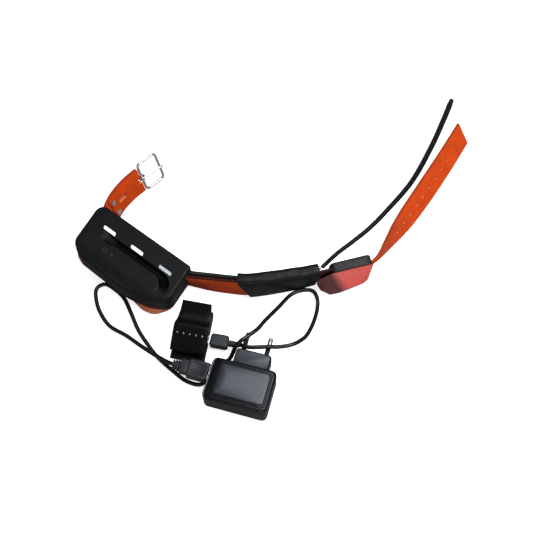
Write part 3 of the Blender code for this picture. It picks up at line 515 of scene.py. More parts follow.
def slab(outline, low, high, lower_edge=0.0, upper_edge=0.0, steps=4):
    """The outline raised from low to high, with its lower and upper edges rounded."""
    turns = [math.pi / 2 * i / steps for i in range(steps + 1)]
    levels = [(low, 0)] if not lower_edge else [
        (low + lower_edge * (1 - math.sin(a)), lower_edge * (1 - math.cos(a))) for a in reversed(turns)]
    levels += [(high, 0)] if not upper_edge else [
        (high - upper_edge * (1 - math.sin(a)), upper_edge * (1 - math.cos(a))) for a in turns]
    return stack(outline, levels)


def turned(bm, euler_degrees, place=(0, 0, 0)):
    matrix = Euler([math.radians(a) for a in euler_degrees]).to_matrix().to_4x4()
    matrix.translation = Vector(place)
    bmesh.ops.transform(bm, matrix=matrix, verts=bm.verts)
    return bm


def rod(radius, length, place, euler_degrees=(0, 0, 0), edge=0.0, sides=32):
    """A round bar centred on its place; unturned it stands along Z."""
    bar = slab(circle(radius, sides=sides), -length / 2, length / 2, edge, edge)
    return turned(bar, euler_degrees, place)


def block(size, place, corner=0.5, edge=0.0):
    width, depth, height = size
    x, y, z = place
    return slab(rectangle(width, depth, corner, (x, y), 4), z - height / 2, z + height / 2, edge, edge)


def lathe(profile, place, euler_degrees=(0, 0, 0), sides=40):
    """A turned body: the profile is (radius, height) from one end to the other."""
    rings = [[(p.x, p.y, z) for p in circle(radius, sides=sides)] for radius, z in profile]
    return turned(loft(rings), euler_degrees, place)


def spline(keys, step):
    """Points about a step apart on a smooth curve through the keys; every column is blended alike."""
    keys = [Vector(key) for key in keys]
    padded = [keys[0] * 2 - keys[1], *keys, keys[-1] * 2 - keys[-2]]
    points = []
    for a, b, c, d in zip(padded, padded[1:], padded[2:], padded[3:]):
        count = max(1, round((c - b).length / step))
        for i in range(count):
            t = i / count
            points.append(0.5 * (2 * b + (c - a) * t + (2 * a - 5 * b + 4 * c - d) * t**2
                                 + (3 * b - a - 3 * c + d) * t**3))
    return points + [keys[-1]]


def strap_frames(keys, step=1.6):
    """Centre, direction, upward edge direction and left-hand normal along a strap that stands on its edge."""
    rows = spline(keys, step)
    frames = []
    for i, (x, y, lean, lift) in enumerate(rows):
        ahead, behind = rows[min(i + 1, len(rows) - 1)], rows[max(i - 1, 0)]
        along = Vector((ahead[0] - behind[0], ahead[1] - behind[1], 0)).normalized()
        left = UP.cross(along)
        angle = math.radians(lean)
        edge = UP * math.cos(angle) + left * math.sin(angle)
        height = STRAP_WIDTH / 2 * math.cos(angle) + STRAP_THICKNESS / 2 * abs(math.sin(angle))
        frames.append((Vector((x, y, height + 0.2 + lift)), along, edge, edge.cross(along)))
    return frames


def tube(points, radius, sides=16, closed=False):
    """A round bar along points; radius is one number or one for each point."""
    points = [Vector(p) for p in points]
    radii = radius if isinstance(radius, (list, tuple)) else [radius] * len(points)
    rings, last = [], len(points) - 1
    for i, point in enumerate(points):
        if closed:
            along = (points[(i + 1) % len(points)] - points[i - 1]).normalized()
        else:
            along = (points[min(i + 1, last)] - points[max(i - 1, 0)]).normalized()
        guide = UP if abs(along.z) < 0.9 else Vector((1, 0, 0))
        side = along.cross(guide).normalized()
        over = side.cross(along)
        rings.append([point + (side * math.cos(a) + over * math.sin(a)) * radii[i]
                      for a in (2 * math.pi * k / sides for k in range(sides))])
    return loft(rings, closed)


def along_normal(bm, frame, place=(0, 0)):
    """Moves a shape made along Z onto a strap frame, so that its Z lies through the strap."""
    centre, along, edge, normal = frame
    for vert in bm.verts:
        x, y, z = vert.co
        vert.co = centre + along * (x + place[0]) + edge * (y + place[1]) + normal * z
    return bm


def length_of(frames):
    return sum((b[0] - a[0]).length for a, b in zip(frames, frames[1:]))


def frame_at(frames, distance):
    """The first strap frame at or past a distance along the strap."""
    gone = 0.0
    for here, there in zip(frames, frames[1:]):
        gone += (there[0] - here[0]).length
        if gone >= distance:
            return there
    return frames[-1]


def smooth(value, start, end):
    t = min(1.0, max(0.0, (value - start) / (end - start)))
    return t * t * (3 - 2 * t)


def local(place, heading, lean=0.0):
    """The matrix of a part's own frame, in millimetres."""
    matrix = Euler((math.radians(lean), 0, math.radians(heading)), "XYZ").to_matrix().to_4x4()
    matrix.translation = Vector(place).to_3d()
    return matrix


WORLD = Matrix.Identity(4)
MODULE = local((0, 0, 0), MODULE_HEADING)
PUCK = local(PUCK_PLACE, PUCK_HEADING, PUCK_LEAN)
ADAPTER = local((*ADAPTER_PLACE, 0), ADAPTER_HEADING)
CLIP = local((*CLIP_PLACE, 0), CLIP_HEADING)
JAW = CLIP @ Matrix.Translation((0, *CLIP_PIN))


# ---------------------------------------------------------------- pieces

def raw(name, bm, matrix=WORLD):
    bmesh.ops.transform(bm, matrix=Matrix.Scale(MM, 4) @ matrix, verts=bm.verts)
    bmesh.ops.recalc_face_normals(bm, faces=bm.faces)
    if bm.calc_volume(signed=True) < 0:
        bmesh.ops.reverse_faces(bm, faces=bm.faces)
    mesh = bpy.data.meshes.new(name)
    bm.to_mesh(mesh)
    bm.free()
    obj = bpy.data.objects.new(name, mesh)
    bpy.context.scene.collection.objects.link(obj)
    return obj


def settle(obj):
    """Applies every modifier."""
    bpy.context.view_layer.update()
    mesh = bpy.data.meshes.new_from_object(obj.evaluated_get(bpy.context.evaluated_depsgraph_get()))
    obj.modifiers.clear()
    old, obj.data = obj.data, mesh
    bpy.data.meshes.remove(old)


def combine(obj, shapes, operation, matrix=WORLD):
    """Joins shapes to the object or cuts them out of it, and applies the result."""
    tools = [raw("tool", shape, matrix) for shape in shapes]
    for tool in tools:
        modifier = obj.modifiers.new("shape", "BOOLEAN")
        modifier.operation = operation
        modifier.object = tool
    settle(obj)
    for tool in tools:
        bpy.data.objects.remove(tool)


def piece(name, bm, look, body, replaces=(), matrix=WORLD, joins=(), cuts=(), world_cuts=(), bevel=0.0,
          angle=38, flat=False):
    """A finished piece: combined, softened along its sharp edges, smoothed, given its look and its body."""
    obj = raw(name, bm, matrix)
    if joins:
        combine(obj, joins, "UNION", matrix)
    if cuts:
        combine(obj, cuts, "DIFFERENCE", matrix)
    if world_cuts:
        combine(obj, world_cuts, "DIFFERENCE")
    if bevel:
        modifier = obj.modifiers.new("bevel", "BEVEL")
        modifier.width, modifier.segments = bevel * MM, 2
        modifier.limit_method, modifier.angle_limit = "ANGLE", math.radians(40)
        modifier.use_clamp_overlap = True
        settle(obj)
    obj.data.shade_smooth()
    obj.data.set_sharp_from_angle(angle=math.radians(angle))
    if flat:
        modifier = obj.modifiers.new("normals", "WEIGHTED_NORMAL")
        modifier.keep_sharp = True
    obj.data.materials.clear()
    obj.data.materials.append(look)
    if body:
        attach(obj, body)
    if replaces:
        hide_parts(*replaces)
    return obj


def module_outline():
    return rounded([(-52.6, 19.5, 2.6), (-45.5, -18, 4), (-35, -25.4, 5.5), (18, -26.6, 10), (42, -20.2, 8),
                    (55, -11.5, 5), (50, 23.5, 1.2), (-49.5, 23.5, 2.2)])


def base_outline():
    return rounded([(-50, 13, 5), (-50, -10, 4), (-46.6, -20.3, 4), (-37, -24, 4), (-18, -22, 6),
                    (12, -21.6, 6), (33, -24.5, 4), (44, -22, 5), (52.5, -9, 6), (48, 21, 3), (-46, 21, 3)])


def cavity_outline():
    return rectangle(74, 20.5, 3, (-1, -8.5), 4)


def span(outline, y):
    """The least and greatest x of a convex outline at a height y."""
    xs = []
    for a, b in zip(outline, outline[1:] + outline[:1]):
        if (a.y - y) * (b.y - y) <= 0 and abs(a.y - b.y) > 1e-9:
            xs.append(a.x + (b.x - a.x) * (y - a.y) / (b.y - a.y))
    return min(xs), max(xs)


def trough(x, y):
    """Depth of the channel under the windows, which wraps round a raised pod, less the lip at its edge."""
    turn_x, turn_y, radius, half = 33.0, -9.6, 11.4, 2.7
    if x < turn_x:
        run, off = x, y - (turn_y + radius)
    elif y > turn_y:
        run = turn_x + radius * math.atan2(x - turn_x, y - turn_y)
        off = math.hypot(x - turn_x, y - turn_y) - radius
    else:
        run, off = turn_x + radius * math.pi / 2 + turn_y - y, x - turn_x - radius
    soft = 4.5 - 4.0 * smooth(run, -34, -8) + 1.5 * smooth(run, 30, 44)
    outer = 0.4 + 2.2 * smooth(run, 36, 46)
    width = 1 - smooth(off, half - 0.1, half + outer)
    depth = 3.9 * width * smooth(off, -half - soft, -half + 0.3)
    depth *= smooth(run, -31, -15) * (1 - smooth(run, 36, 56))
    lip = 0.3 * math.exp(-((off + half + 1.6) / 1.3) ** 2) * smooth(run, -10, 4) * (1 - smooth(run, 30, 44))
    return depth - lip


def module_height(x, y):
    crown = 2.2 * smooth(-y, 12, 24) ** 1.6 + 0.7 * smooth(-x, 36, 52) ** 2
    return MODULE_TOP - trough(x, y) - crown


def draped(outline, height, rim, bottom, columns=220):
    """A closed body whose top follows height(x, y), with a rim of that radius rolled over the outline."""
    inner = shrunk(outline, rim)
    low, high = min(p.y for p in inner), max(p.y for p in inner)
    close = [0.02, 0.08, 0.18, 0.32, 0.5, 0.72, 1.0, 1.3, 1.65, 2.0, 2.5, 3.0, 3.5]
    ys = [low] + [low + c for c in close]
    while ys[-1] < high - 4.0:
        ys.append(ys[-1] + (0.22 if -4.5 < ys[-1] < 5.2 else 0.5))
    ys += [high - c for c in reversed(close)] + [high]
    grid = []
    for y in ys:
        left, right = span(inner, min(high - 1e-4, max(low + 1e-4, y)))
        xs = [left + (right - left) * i / columns for i in range(columns + 1)]
        grid.append([Vector((x, y, height(x, y))) for x in xs])
    bm = bmesh.new()
    rows = [[bm.verts.new(p) for p in row] for row in grid]
    for first, second in zip(rows, rows[1:]):
        for i in range(columns):
            bm.faces.new((first[i], first[i + 1], second[i + 1], second[i]))
    loop = rows[0] + [row[-1] for row in rows[1:]] + rows[-1][-2::-1] + [row[0] for row in rows[-2:0:-1]]
    places = [v.co.copy() for v in loop]
    outward = []
    for i, here in enumerate(places):
        ahead, behind = places[(i + 2) % len(places)], places[i - 2]
        run = Vector((ahead.x - behind.x, ahead.y - behind.y, 0)).normalized()
        outward.append(Vector((run.y, -run.x, 0)))
    previous = loop
    turns = [math.pi / 2 * i / 6 for i in range(1, 7)]
    steps = [(rim * math.sin(a), rim * (1 - math.cos(a)), None) for a in turns]
    steps += [(rim, 0, bottom + 0.6), (rim - 0.15, 0, bottom + 0.18), (rim - 0.6, 0, bottom)]
    for out, down, level in steps:
        ring = []
        for place, direction in zip(places, outward):
            point = place + direction * out
            point.z = place.z - down if level is None else level
            ring.append(bm.verts.new(point))
        for i in range(len(ring)):
            j = (i + 1) % len(ring)
            bm.faces.new((previous[i], ring[i], ring[j], previous[j]))
        previous = ring
    bm.faces.new(previous)
    return bm


def strap_pockets():
    """The slots where the two strap lengths and the signal cable enter the module."""
    shapes = []
    for keys, reach in ((BUCKLE_STRAP, 21), (MIDDLE_STRAP, 20)):
        frames = strap_frames(keys, 4.0)
        centre, along, edge, normal = frames[0]
        frames = [f for f in frames if (f[0] - centre).length < reach]
        frames[0] = (centre - along * 0.4, along, edge, normal)
        shapes.append(ribbon(frames, STRAP_WIDTH + 0.6, STRAP_THICKNESS + 0.8, 0.3))
    shapes.append(signal_cable(0.5, 38, 62))
    return shapes


def build_module():
    cuts = [stack(cavity_outline(), [(COVER_BOTTOM - 5, 0), (CAVITY_ROOF, 0)])]
    height = WINDOW_SIZE[2]
    for x in WINDOW_XS:
        cuts.append(slab(window_outline(x, GAP), MODULE_TOP - height - GAP, MODULE_TOP + 5))
    cuts += [rod(3.3, 20, (*BUTTON_PLACE, MODULE_TOP)), rod(1.5, 20, (*LED_PLACE, MODULE_TOP))]
    cuts += [rod(1.7, 14, (x, y, COVER_BOTTOM)) for x, y in SCREW_PLACES]
    cover = draped(module_outline(), module_height, 2.2, COVER_BOTTOM)
    cover = piece("cover_moulding", cover, looks["cover"], "collar", ["module_cover"], MODULE, cuts=cuts,
                  world_cuts=strap_pockets(), angle=55)
    # Depth of the channel, which sets its painted shade.
    recess = cover.data.attributes.new("recess", "FLOAT", "POINT")
    inward = (Matrix.Scale(MM, 4) @ MODULE).inverted()
    for vert in cover.data.vertices:
        x, y, z = inward @ vert.co
        if z > MODULE_TOP - 8:
            recess.data[vert.index].value = smooth(trough(x, y), 0.2, 2.0)

    levels = [(0, 1.4), (0.5, 0.5), (1.4, 0.1), (5.0, 0), (5.3, 0.35), (5.6, 0.4), (7.2, 0.4),
              (7.5, 0.6), (BASE_TOP, 1.0)]
    cuts = [stack(cavity_outline(), [(2.0, 0), (BASE_TOP + 5, 0)])]
    for x, y in SCREW_PLACES:
        cuts += [rod(1.7, 30, (x, y, 5)), rod(2.9, 10, (x, y, -2.6))]
    piece("base_moulding", stack(base_outline(), levels), looks["base"], "collar", ["module_base_shell"],
          MODULE, cuts=cuts, world_cuts=strap_pockets())

    for i, x in enumerate(WINDOW_XS):
        pill = window_outline(x)
        levels = [(MODULE_TOP - height, 0), (MODULE_TOP - 0.5, 0), (MODULE_TOP - 0.25, 0.12),
                  (MODULE_TOP - 0.05, 0.5), (MODULE_TOP + 0.05, 1.0)]
        # The third lens takes the grey copy: painted shade.
        look = looks["window_shaded" if i == 2 else "window"]
        piece(f"window_lens_{i + 1}", stack(pill, levels), look, "collar", [f"light_window_{i + 1}"], MODULE)
    top = module_height(*BUTTON_PLACE)
    button = [(2.6, 21.0), (3.0, 21.3), (3.0, top - 0.2), (2.85, top + 0.1), (2.5, top + 0.2), (1.9, top),
              (0.2, top - 0.15)]
    piece("button_cap", lathe(button, (*BUTTON_PLACE, 0)), looks["rubber"], "power_button", ["power_button"],
          MODULE)


def window_outline(x, margin=0.0):
    """A slim slanted window, narrower than its seat."""
    half, tall, slant = WINDOW_SIZE[0] / 2 - 0.4 + margin, 1.55 + margin, 0.7
    low, high = WINDOW_Y + 0.3 - tall, WINDOW_Y + 0.3 + tall
    return rounded([(x - half - slant, high, 0.9), (x - half + slant, low, 1.2),
                    (x + half + slant, low, 0.9), (x + half - slant, high, 1.2)])


def section(width, thickness, corner):
    """A strap's rounded cross-section: x through it and y across it."""
    across = [width * s / 2 for s in (-0.9, -0.6, -0.3, 0, 0.3, 0.6, 0.9)]
    half, end = thickness / 2, width / 2
    turns = [math.pi / 2 * i / 3 for i in range(4)]
    front = [(-half, y) for y in across]
    top = [(-half + corner * (1 - math.cos(a)), end - corner * (1 - math.sin(a))) for a in turns]
    top += [(half - corner * (1 - math.sin(a)), end - corner * (1 - math.cos(a))) for a in turns]
    bottom = [(-x, -y) for x, y in top]
    return front + top + [(half, y) for y in reversed(across)] + bottom


def ribbon(frames, width, thickness, corner=0.9):
    outline = section(width, thickness, corner)
    return loft([[c + n * x + e * y for x, y in outline] for c, _, e, n in frames])


def map_strap(obj, frames):
    """UVs in millimetres: u along the strap and v across it."""
    runs = runs_of(frames)
    layer = obj.data.uv_layers.new(name="UVMap")
    spots = []
    for vert in obj.data.vertices:
        place = vert.co / MM
        i = min(range(len(frames)), key=lambda k: (frames[k][0] - place).length_squared)
        centre, along, edge, _ = frames[i]
        spots.append((runs[i] + (place - centre).dot(along), (place - centre).dot(edge)))
    for loop in obj.data.loops:
        layer.data[loop.index].uv = spots[loop.vertex_index]
    # Marks the hole walls that get the painted highlight on the hole rims.
    core = obj.data.attributes.new("core", "FLOAT", "FACE")
    for face in obj.data.polygons:
        place = face.center / MM
        centre, _, edge, normal = min(frames, key=lambda f: (f[0] - place).length_squared)
        inner = abs((place - centre).dot(edge)) < STRAP_WIDTH / 2 - 1
        core.data[face.index].value = 1.0 if inner and abs(face.normal.dot(normal)) < 0.5 else 0.0


def strap_hole(frame, across=0.0, radius=STRAP_HOLE / 2):
    return along_normal(slab(circle(radius), -6, 6), frame, (0, across))


def build_straps():
    middle, tail = strap_frames(MIDDLE_STRAP), strap_frames(TAIL_STRAP)
    frames = middle[:-1] + tail
    length = length_of(tail)
    runs = [length - TAIL_HOLE_START - TAIL_HOLE_PITCH * i for i in range(TAIL_HOLES)]
    holes = [strap_hole(frame_at(middle, run)) for run in MIDDLE_HOLE_RUNS]
    holes += [strap_hole(frame_at(tail, run)) for run in runs]
    long_strap = piece("strap_long", ribbon(frames, STRAP_WIDTH, STRAP_THICKNESS), looks["strap"], None,
                       cuts=holes, bevel=0.2)
    map_strap(long_strap, frames)
    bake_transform(long_strap)
    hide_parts("strap_middle", "strap_tail")


def runs_of(frames):
    """How far along the strap each of its frames lies."""
    runs = [0.0]
    for here, there in zip(frames, frames[1:]):
        runs.append(runs[-1] + (there[0] - here[0]).length)
    return runs


def build_buckle():
    frames = strap_frames(BUCKLE_STRAP)
    end = frames[-1]
    eye = slab(circle(4.2), -STRAP_WIDTH / 2, STRAP_WIDTH / 2, 0.6, 0.6)
    eye = turned(eye, (90, 0, 0), (BUCKLE_BAR, 0, 0))
    bore = turned(slab(circle(1.9), -30, 30), (90, 0, 0), (BUCKLE_BAR, 0, 0))
    slot = slab(rectangle(9.5, 4, 1.9), -6, 6)
    cuts = [along_normal(bore, end), along_normal(block((14, 5.0, 20), (4.6, 0, 0)), end),
            along_normal(slot, frame_at(frames, PRONG_SLOT_RUN))]
    rivet_frame = frame_at(frames, RIVET_RUN)
    cuts += [strap_hole(rivet_frame, across, 1.7) for across in RIVET_OFFSETS]
    rows = [f for f, run in zip(frames, runs_of(frames)) if run > FOLD_START]
    folded = [(c - n * (STRAP_THICKNESS + FOLD_THICKNESS) / 2, a, e, n) for c, a, e, n in rows]
    fold = ribbon(folded, STRAP_WIDTH - 0.8, FOLD_THICKNESS + 0.4, 0.5)
    strap = piece("strap_short", ribbon(frames, STRAP_WIDTH, STRAP_THICKNESS), looks["strap"], None,
                  joins=[fold, along_normal(eye, end)], cuts=cuts, bevel=0.2)
    map_strap(strap, frames)
    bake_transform(strap)
    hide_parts("strap_anchor", "strap_buckle_end")

    dome = [(0.2, -1.3), (1.6, -1.2), (2.5, -0.8), (2.6, -0.3), (2.2, -0.05), (1.4, 0)]
    front, back = STRAP_THICKNESS / 2 + FOLD_THICKNESS + 0.25, STRAP_THICKNESS / 2 + 0.2
    for i, across in enumerate(RIVET_OFFSETS):
        profile = [(r, z - front) for r, z in dome] + [(r, back - z) for r, z in reversed(dome)]
        head = along_normal(lathe(profile, (0, 0, 0)), rivet_frame, (0, across))
        piece(f"rivet_{i + 1}", head, looks["steel"], "buckle_strap", [f"strap_rivet_{i + 1}"])

    bar = BUCKLE_BAR
    outline = rectangle(20, 29.2, 4, (bar + 10, 0))
    hoop = along_normal(tube([p.to_3d() for p in outline], 1.3, 16, closed=True), end)
    piece("buckle_hoop", hoop, looks["steel"], "buckle_frame", ["buckle_frame"])
    hub = turned(slab(circle(3.2), -1.5, 1.5, 0.3, 0.3), (90, 0, 0), (bar, 0, 0))
    path = spline([(bar, 0, -2.3), (bar + 8, 0, -3.0), (bar + 17, 0, -3.2), (bar + 22, 0, -3.1)], 2)
    tongue = tube(path, [1.1] * (len(path) - 2) + [0.9, 0.6], 14)
    piece("buckle_tongue", along_normal(hub, end), looks["steel"], "buckle_prong", ["buckle_prong"],
          joins=[along_normal(tongue, end)],
          cuts=[along_normal(turned(slab(circle(1.7), -9, 9), (90, 0, 0), (bar, 0, 0)), end)], bevel=0.15)


def signal_cable(clearance=0.0, start=40.0, end=168.8, step=1.6, sides=24):
    """Behind the strap near its top edge; in the sleeve it thins and sinks, and it ends in the puck."""
    points, radii = [], []
    for centre, _, edge, normal in strap_frames(MIDDLE_STRAP, step):
        if start < centre.x < end:
            sink = min(1.0, max(0.0, (centre.x - 105) / 35))
            radius = CABLE_RADIUS + (CABLE_END_RADIUS - CABLE_RADIUS) * sink
            radii.append(radius + clearance)
            points.append(centre + edge * (CABLE_LIFT - 10.8 * sink)
                          + normal * (STRAP_THICKNESS / 2 + CABLE_STANDOFF + radius))
    return tube(points, radii, sides)


def sleeve_ring(frame, outline, middle, slant, shift):
    centre, along, edge, normal = frame
    return [centre + edge * p.x + normal * (middle + p.y) + along * (slant * p.x + shift) for p in outline]


def build_sleeve():
    frames = [f for f in strap_frames(MIDDLE_STRAP) if 97 < f[0].x < 159.5]
    reach = STRAP_THICKNESS / 2 + 0.4
    back = STRAP_THICKNESS / 2 + CABLE_STANDOFF + 2 * CABLE_RADIUS + 0.25
    middle, half, tall = (back - reach) / 2, (back + reach) / 2, STRAP_WIDTH / 2 + 0.4
    inside = rectangle(2 * tall, 2 * half, 0.5, steps=5)
    skin = rectangle(2 * (tall + SLEEVE_WALL), 2 * (half + SLEEVE_WALL), 3.6, steps=5)
    outer, inner = [], []
    count = len(frames) - 1
    for i, frame in enumerate(frames):
        t = i / count
        slant = -0.42 * (1 - smooth(t, 0, 0.3)) + 0.1 * smooth(t, 0.8, 1)
        ring = sleeve_ring(frame, skin, middle, slant, 0)
        centre = sum(ring, Vector()) / len(ring)
        for k, point in enumerate(ring):
            bulge = 1.3 if skin[k].y < 0 else 0.65
            crown = bulge * math.cos(math.pi / 2 * min(1, abs(skin[k].x) / tall)) ** 0.7
            ripple = 0.45 * noise.noise(point * 0.11) + 0.16 * noise.noise(point * 0.4)
            out = (point - centre).normalized()
            ring[k] = point + frame[3] * (-crown if skin[k].y < 0 else crown) + out * (ripple + 0.2)
        outer.append(ring)
        inner.append(sleeve_ring(frame, inside, middle, slant, 0))
    rings = inner[:1] + outer + inner[:0:-1]
    piece("sleeve_skin", loft(rings, closed=True), looks["sleeve"], "collar", ["cable_sleeve"], angle=60)
    piece("signal_wire", signal_cable(), looks["cable"], "collar", ["signal_cable"])


def build_antenna():
    root = [centre + edge * WHIP_EDGE + normal * WHIP_BACK
            for centre, _, edge, normal in strap_frames(MIDDLE_STRAP, 4.0) if 150 < centre.x < 163]
    sleeve = spline(root, 0.8)
    radii = [1.5 + (0.16 if i % 4 < 2 else -0.08) for i in range(len(sleeve))]
    piece("ferrule", tube(sleeve, radii, 20), looks["dark_steel"], "collar", ["antenna_ferrule"])
    start = root[-1] + (root[-1] - root[-2]).normalized() * 1.4
    path = spline([start, *WHIP_PATH], 2)
    growth = (WHIP_RADIUS - WHIP_ROOT_RADIUS) / (len(path) - 1)
    radii = [WHIP_ROOT_RADIUS + growth * i for i in range(len(path))]
    radii[0] -= 0.3
    whip = piece("whip", tube(path, radii, 18), looks["whip"], None)
    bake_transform(whip)
    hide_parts("antenna_whip")
    end, along = path[-1], (path[-1] - path[-2]).normalized()
    stops = ((0.4, 2.2), (0.8, 2.4), (1.4, 2.5), (3.2, 2.48), (4.8, 2.4), (5.6, 2.1), (6, 1.6))
    tip = tube([end + along * s for s, _ in stops], [r for _, r in stops], 24)
    piece("whip_tip", tip, looks["rubber"], "antenna", ["antenna_tip"])


def build_puck():
    upright = (90, 0, 0)
    inside = [f for f in strap_frames(MIDDLE_STRAP, 4.0) if f[0].x > 160]
    centre, along, edge, normal = inside[-1]
    inside.append((centre + along * 4, along, edge, normal))
    channel = [ribbon(inside, STRAP_WIDTH + 0.8, STRAP_THICKNESS + 0.9, 0.3),
               signal_cable(0.4, 150, 174, 4.0)]
    case = turned(slab(rectangle(35, 29, 4), -4.7, 3.6, 1.6, 0), upright)
    piece("puck_case", case, looks["puck"], "collar", ["puck_base"], PUCK, world_cuts=channel, bevel=0.3)
    lens = bmesh.new()
    for point in LENS_BACK + LENS_FRONT:
        lens.verts.new(point)
    bmesh.ops.convex_hull(lens, input=lens.verts)
    bmesh.ops.dissolve_limit(lens, angle_limit=math.radians(8), verts=lens.verts, edges=lens.edges)
    piece("puck_prism", lens, looks["red"], "collar", ["puck_lens"], PUCK,
          cuts=[block((30, 6, 12.5), (0, -4.1, -3.5))], bevel=0.6, angle=14, flat=True)


def build_adapter():
    length, width, height = ADAPTER_SIZE
    outline = rectangle(length, width, 5, steps=10)
    seam = ADAPTER_SEAM
    levels = [(0, 2.6), (0.3, 1.6), (1.0, 0.7), (2.2, 0.1), (3.4, 0), (seam - 0.5, 0),
              (seam - 0.1, 0.15), (seam, 0.5)]
    boss = slab(rectangle(29, 20, 3, (3.5, width / 2 + 3)), 3.2, 19.6, 1.6, 1.6)
    tip = width / 2 + 13
    cuts = [stack(shrunk(outline, 2.2), [(2.2, 0), (seam + 5, 0)]),
            block((20, 14.2, 7.2), (-length / 2, SOCKET_Y, SOCKET_Z))]
    for side in (-1, 1):
        x = PIN_CENTRE_X + side * PIN_PITCH / 2
        cuts.append(rod(2.3, 14, (x, tip, SOCKET_Z), (90, 0, 0)))
    piece("adapter_lower", stack(outline, levels), looks["adapter"], "adapter", ["adapter_bottom_shell"],
          ADAPTER, joins=[boss], cuts=cuts, bevel=0.35)

    top = height
    levels = [(seam + GAP, 0.5), (seam + 0.45, 0.15), (seam + 0.9, 0), (top - 3.6, 0), (top - 2.9, 0.35),
              (top - 2.2, 0.95), (top - 1.6, 1.7), (top - 1.55, 1.95), (top - 1.95, 2.15), (top - 1.95, 2.5),
              (top - 1.35, 2.7), (top - 1.0, 3.1), (top - 0.95, 3.3), (top - 1.2, 3.45), (top - 1.2, 3.7),
              (top - 0.7, 3.85), (top - 0.3, 4.2), (top - 0.1, 4.7), (top, 5.4)]
    levels += [(top, 5.4 + 1.2 * i) for i in range(1, 10)]
    lid = stack(outline, levels)
    for vert in lid.verts:
        drop = max(0.0, -vert.co.x - 11) / (length / 2 - 11)
        vert.co.z -= 4.2 * drop**2 * smooth(vert.co.z, seam + 0.9, top - 3)
    piece("adapter_upper", lid, looks["adapter"], "adapter", ["adapter_top_shell"], ADAPTER,
          cuts=[stack(shrunk(outline, 4.5), [(seam - 5, 0), (seam + 1.4, 0)])], angle=32)


def build_pins():
    width = ADAPTER_SIZE[1]
    tip = width / 2 + 13
    lying = (-90, 0, 0)
    for i, side in enumerate((-1, 1)):
        x = PIN_CENTRE_X + side * PIN_PITCH / 2
        sleeve = [(1.7, 0), (1.95, 0.25), (1.95, 15.8), (1.8, 16.0)]
        shell = lathe(sleeve, (x, tip - 5.5, SOCKET_Z), lying)
        piece(f"pin_collar_{i + 1}", shell, looks["pin_sleeve"], "adapter", [f"pin_sleeve_{i + 1}"], ADAPTER,
              cuts=[rod(1.3, 40, (x, tip, SOCKET_Z), (90, 0, 0))])
        end = PIN_REACH
        pin = [(0.9, -3.4), (1.0, -3.3), (1.0, end - 6), (2.0, end - 6), (2.0, end - 1), (1.8, end - 0.4),
               (1.2, end - 0.05), (0.3, end)]
        piece(f"pin_{i + 1}", lathe(pin, (x, tip, SOCKET_Z), lying), looks["dark_steel"], "adapter",
              [f"plug_pin_{i + 1}"], ADAPTER)


def build_lead():
    mouth = -ADAPTER_SIZE[0] / 2 - PLUG_GAP
    y, z = SOCKET_Y, SOCKET_Z
    body = slab(rectangle(17.5, 15.2, 2.2, (mouth - 8.75, y)), z - 4, z + 4, 1.1, 1.1)
    ribs = [block((7, 11.4, 6.8), (mouth - 20.5, y, z), 1.5, 0.9)]
    ribs += [block((1.2, 9 - i, 6 - 0.5 * i), (mouth - 25.4 - 2 * i, y, z), 1, 0.4) for i in range(3)]
    ribs.append(rod(2.4, 10, (mouth - 24.8, y, z), (0, 90, 0)))
    cuts = [block((5, 12.7, 5.2), (mouth, y, z)), rod(LEAD_RADIUS + 0.3, 14, (mouth - 30, y, z), (0, 90, 0)),
            slab(rectangle(11.5, 9, 1.5, (mouth - 8.5, y)), z + 3.6, z + 6)]
    piece("usb_a_grip", body, looks["plug"], "lead", ["usb_a_housing"], ADAPTER, joins=ribs, cuts=cuts,
          bevel=0.2)

    mouth = CLIP_WIDTH / 2 + PLUG_GAP
    y, z = MICRO_Y, MICRO_Z
    body = slab(rectangle(15, 11, 2.6, (mouth + 7.5, y)), z - 3.6, z + 3.6, 1.2, 1.2)
    joins = [rod(2.5, 8, (mouth + 18, y, z), (0, 90, 0), 0.4)]
    joins += [rod(3.0 - 0.15 * i, 0.9, (mouth + 16.4 + 1.9 * i, y, z), (0, 90, 0), 0.2) for i in range(3)]
    cuts = [block((5, 7.6, 2.6), (mouth, y, z)), rod(LEAD_RADIUS + 0.3, 8, (mouth + 22, y, z), (0, 90, 0))]
    cuts += [block((0.6, 7, 1.0), (mouth + 5 + 1.7 * i, y, z + 3.6), 0.2) for i in range(4)]
    piece("micro_usb_grip", body, looks["plug"], "lead", ["micro_usb_housing"], CLIP, joins=joins, cuts=cuts,
          bevel=0.2)
    cable = tube(spline(LEAD_PATH, 1.8), LEAD_RADIUS, 18)
    piece("lead_cable", cable, looks["cable"], "lead", ["charge_cable"])


def side_profile(points, width, slices=7):
    """A body with the given y-z outline, centred on x = 0, narrower towards its far end."""
    rings = []
    for i in range(slices + 1):
        x = -width / 2 + width * i / slices
        rings.append([(x, y, z) for y, z in points])
    bm = loft(rings)
    for vert in bm.verts:
        vert.co.x *= 1 - 0.15 * max(0.0, vert.co.y) / (CLIP_LENGTH / 2)
    return bm


def softened(points, steps=5):
    """The outline with each corner eased over a little under half of its shorter side."""
    corners = []
    for i, point in enumerate(points):
        before, after = points[i - 1], points[(i + 1) % len(points)]
        sides = [math.dist(point, before), math.dist(point, after)]
        corners.append((*point, min(sides) * 0.42))
    return [(p.x, p.y) for p in rounded(corners, steps)]


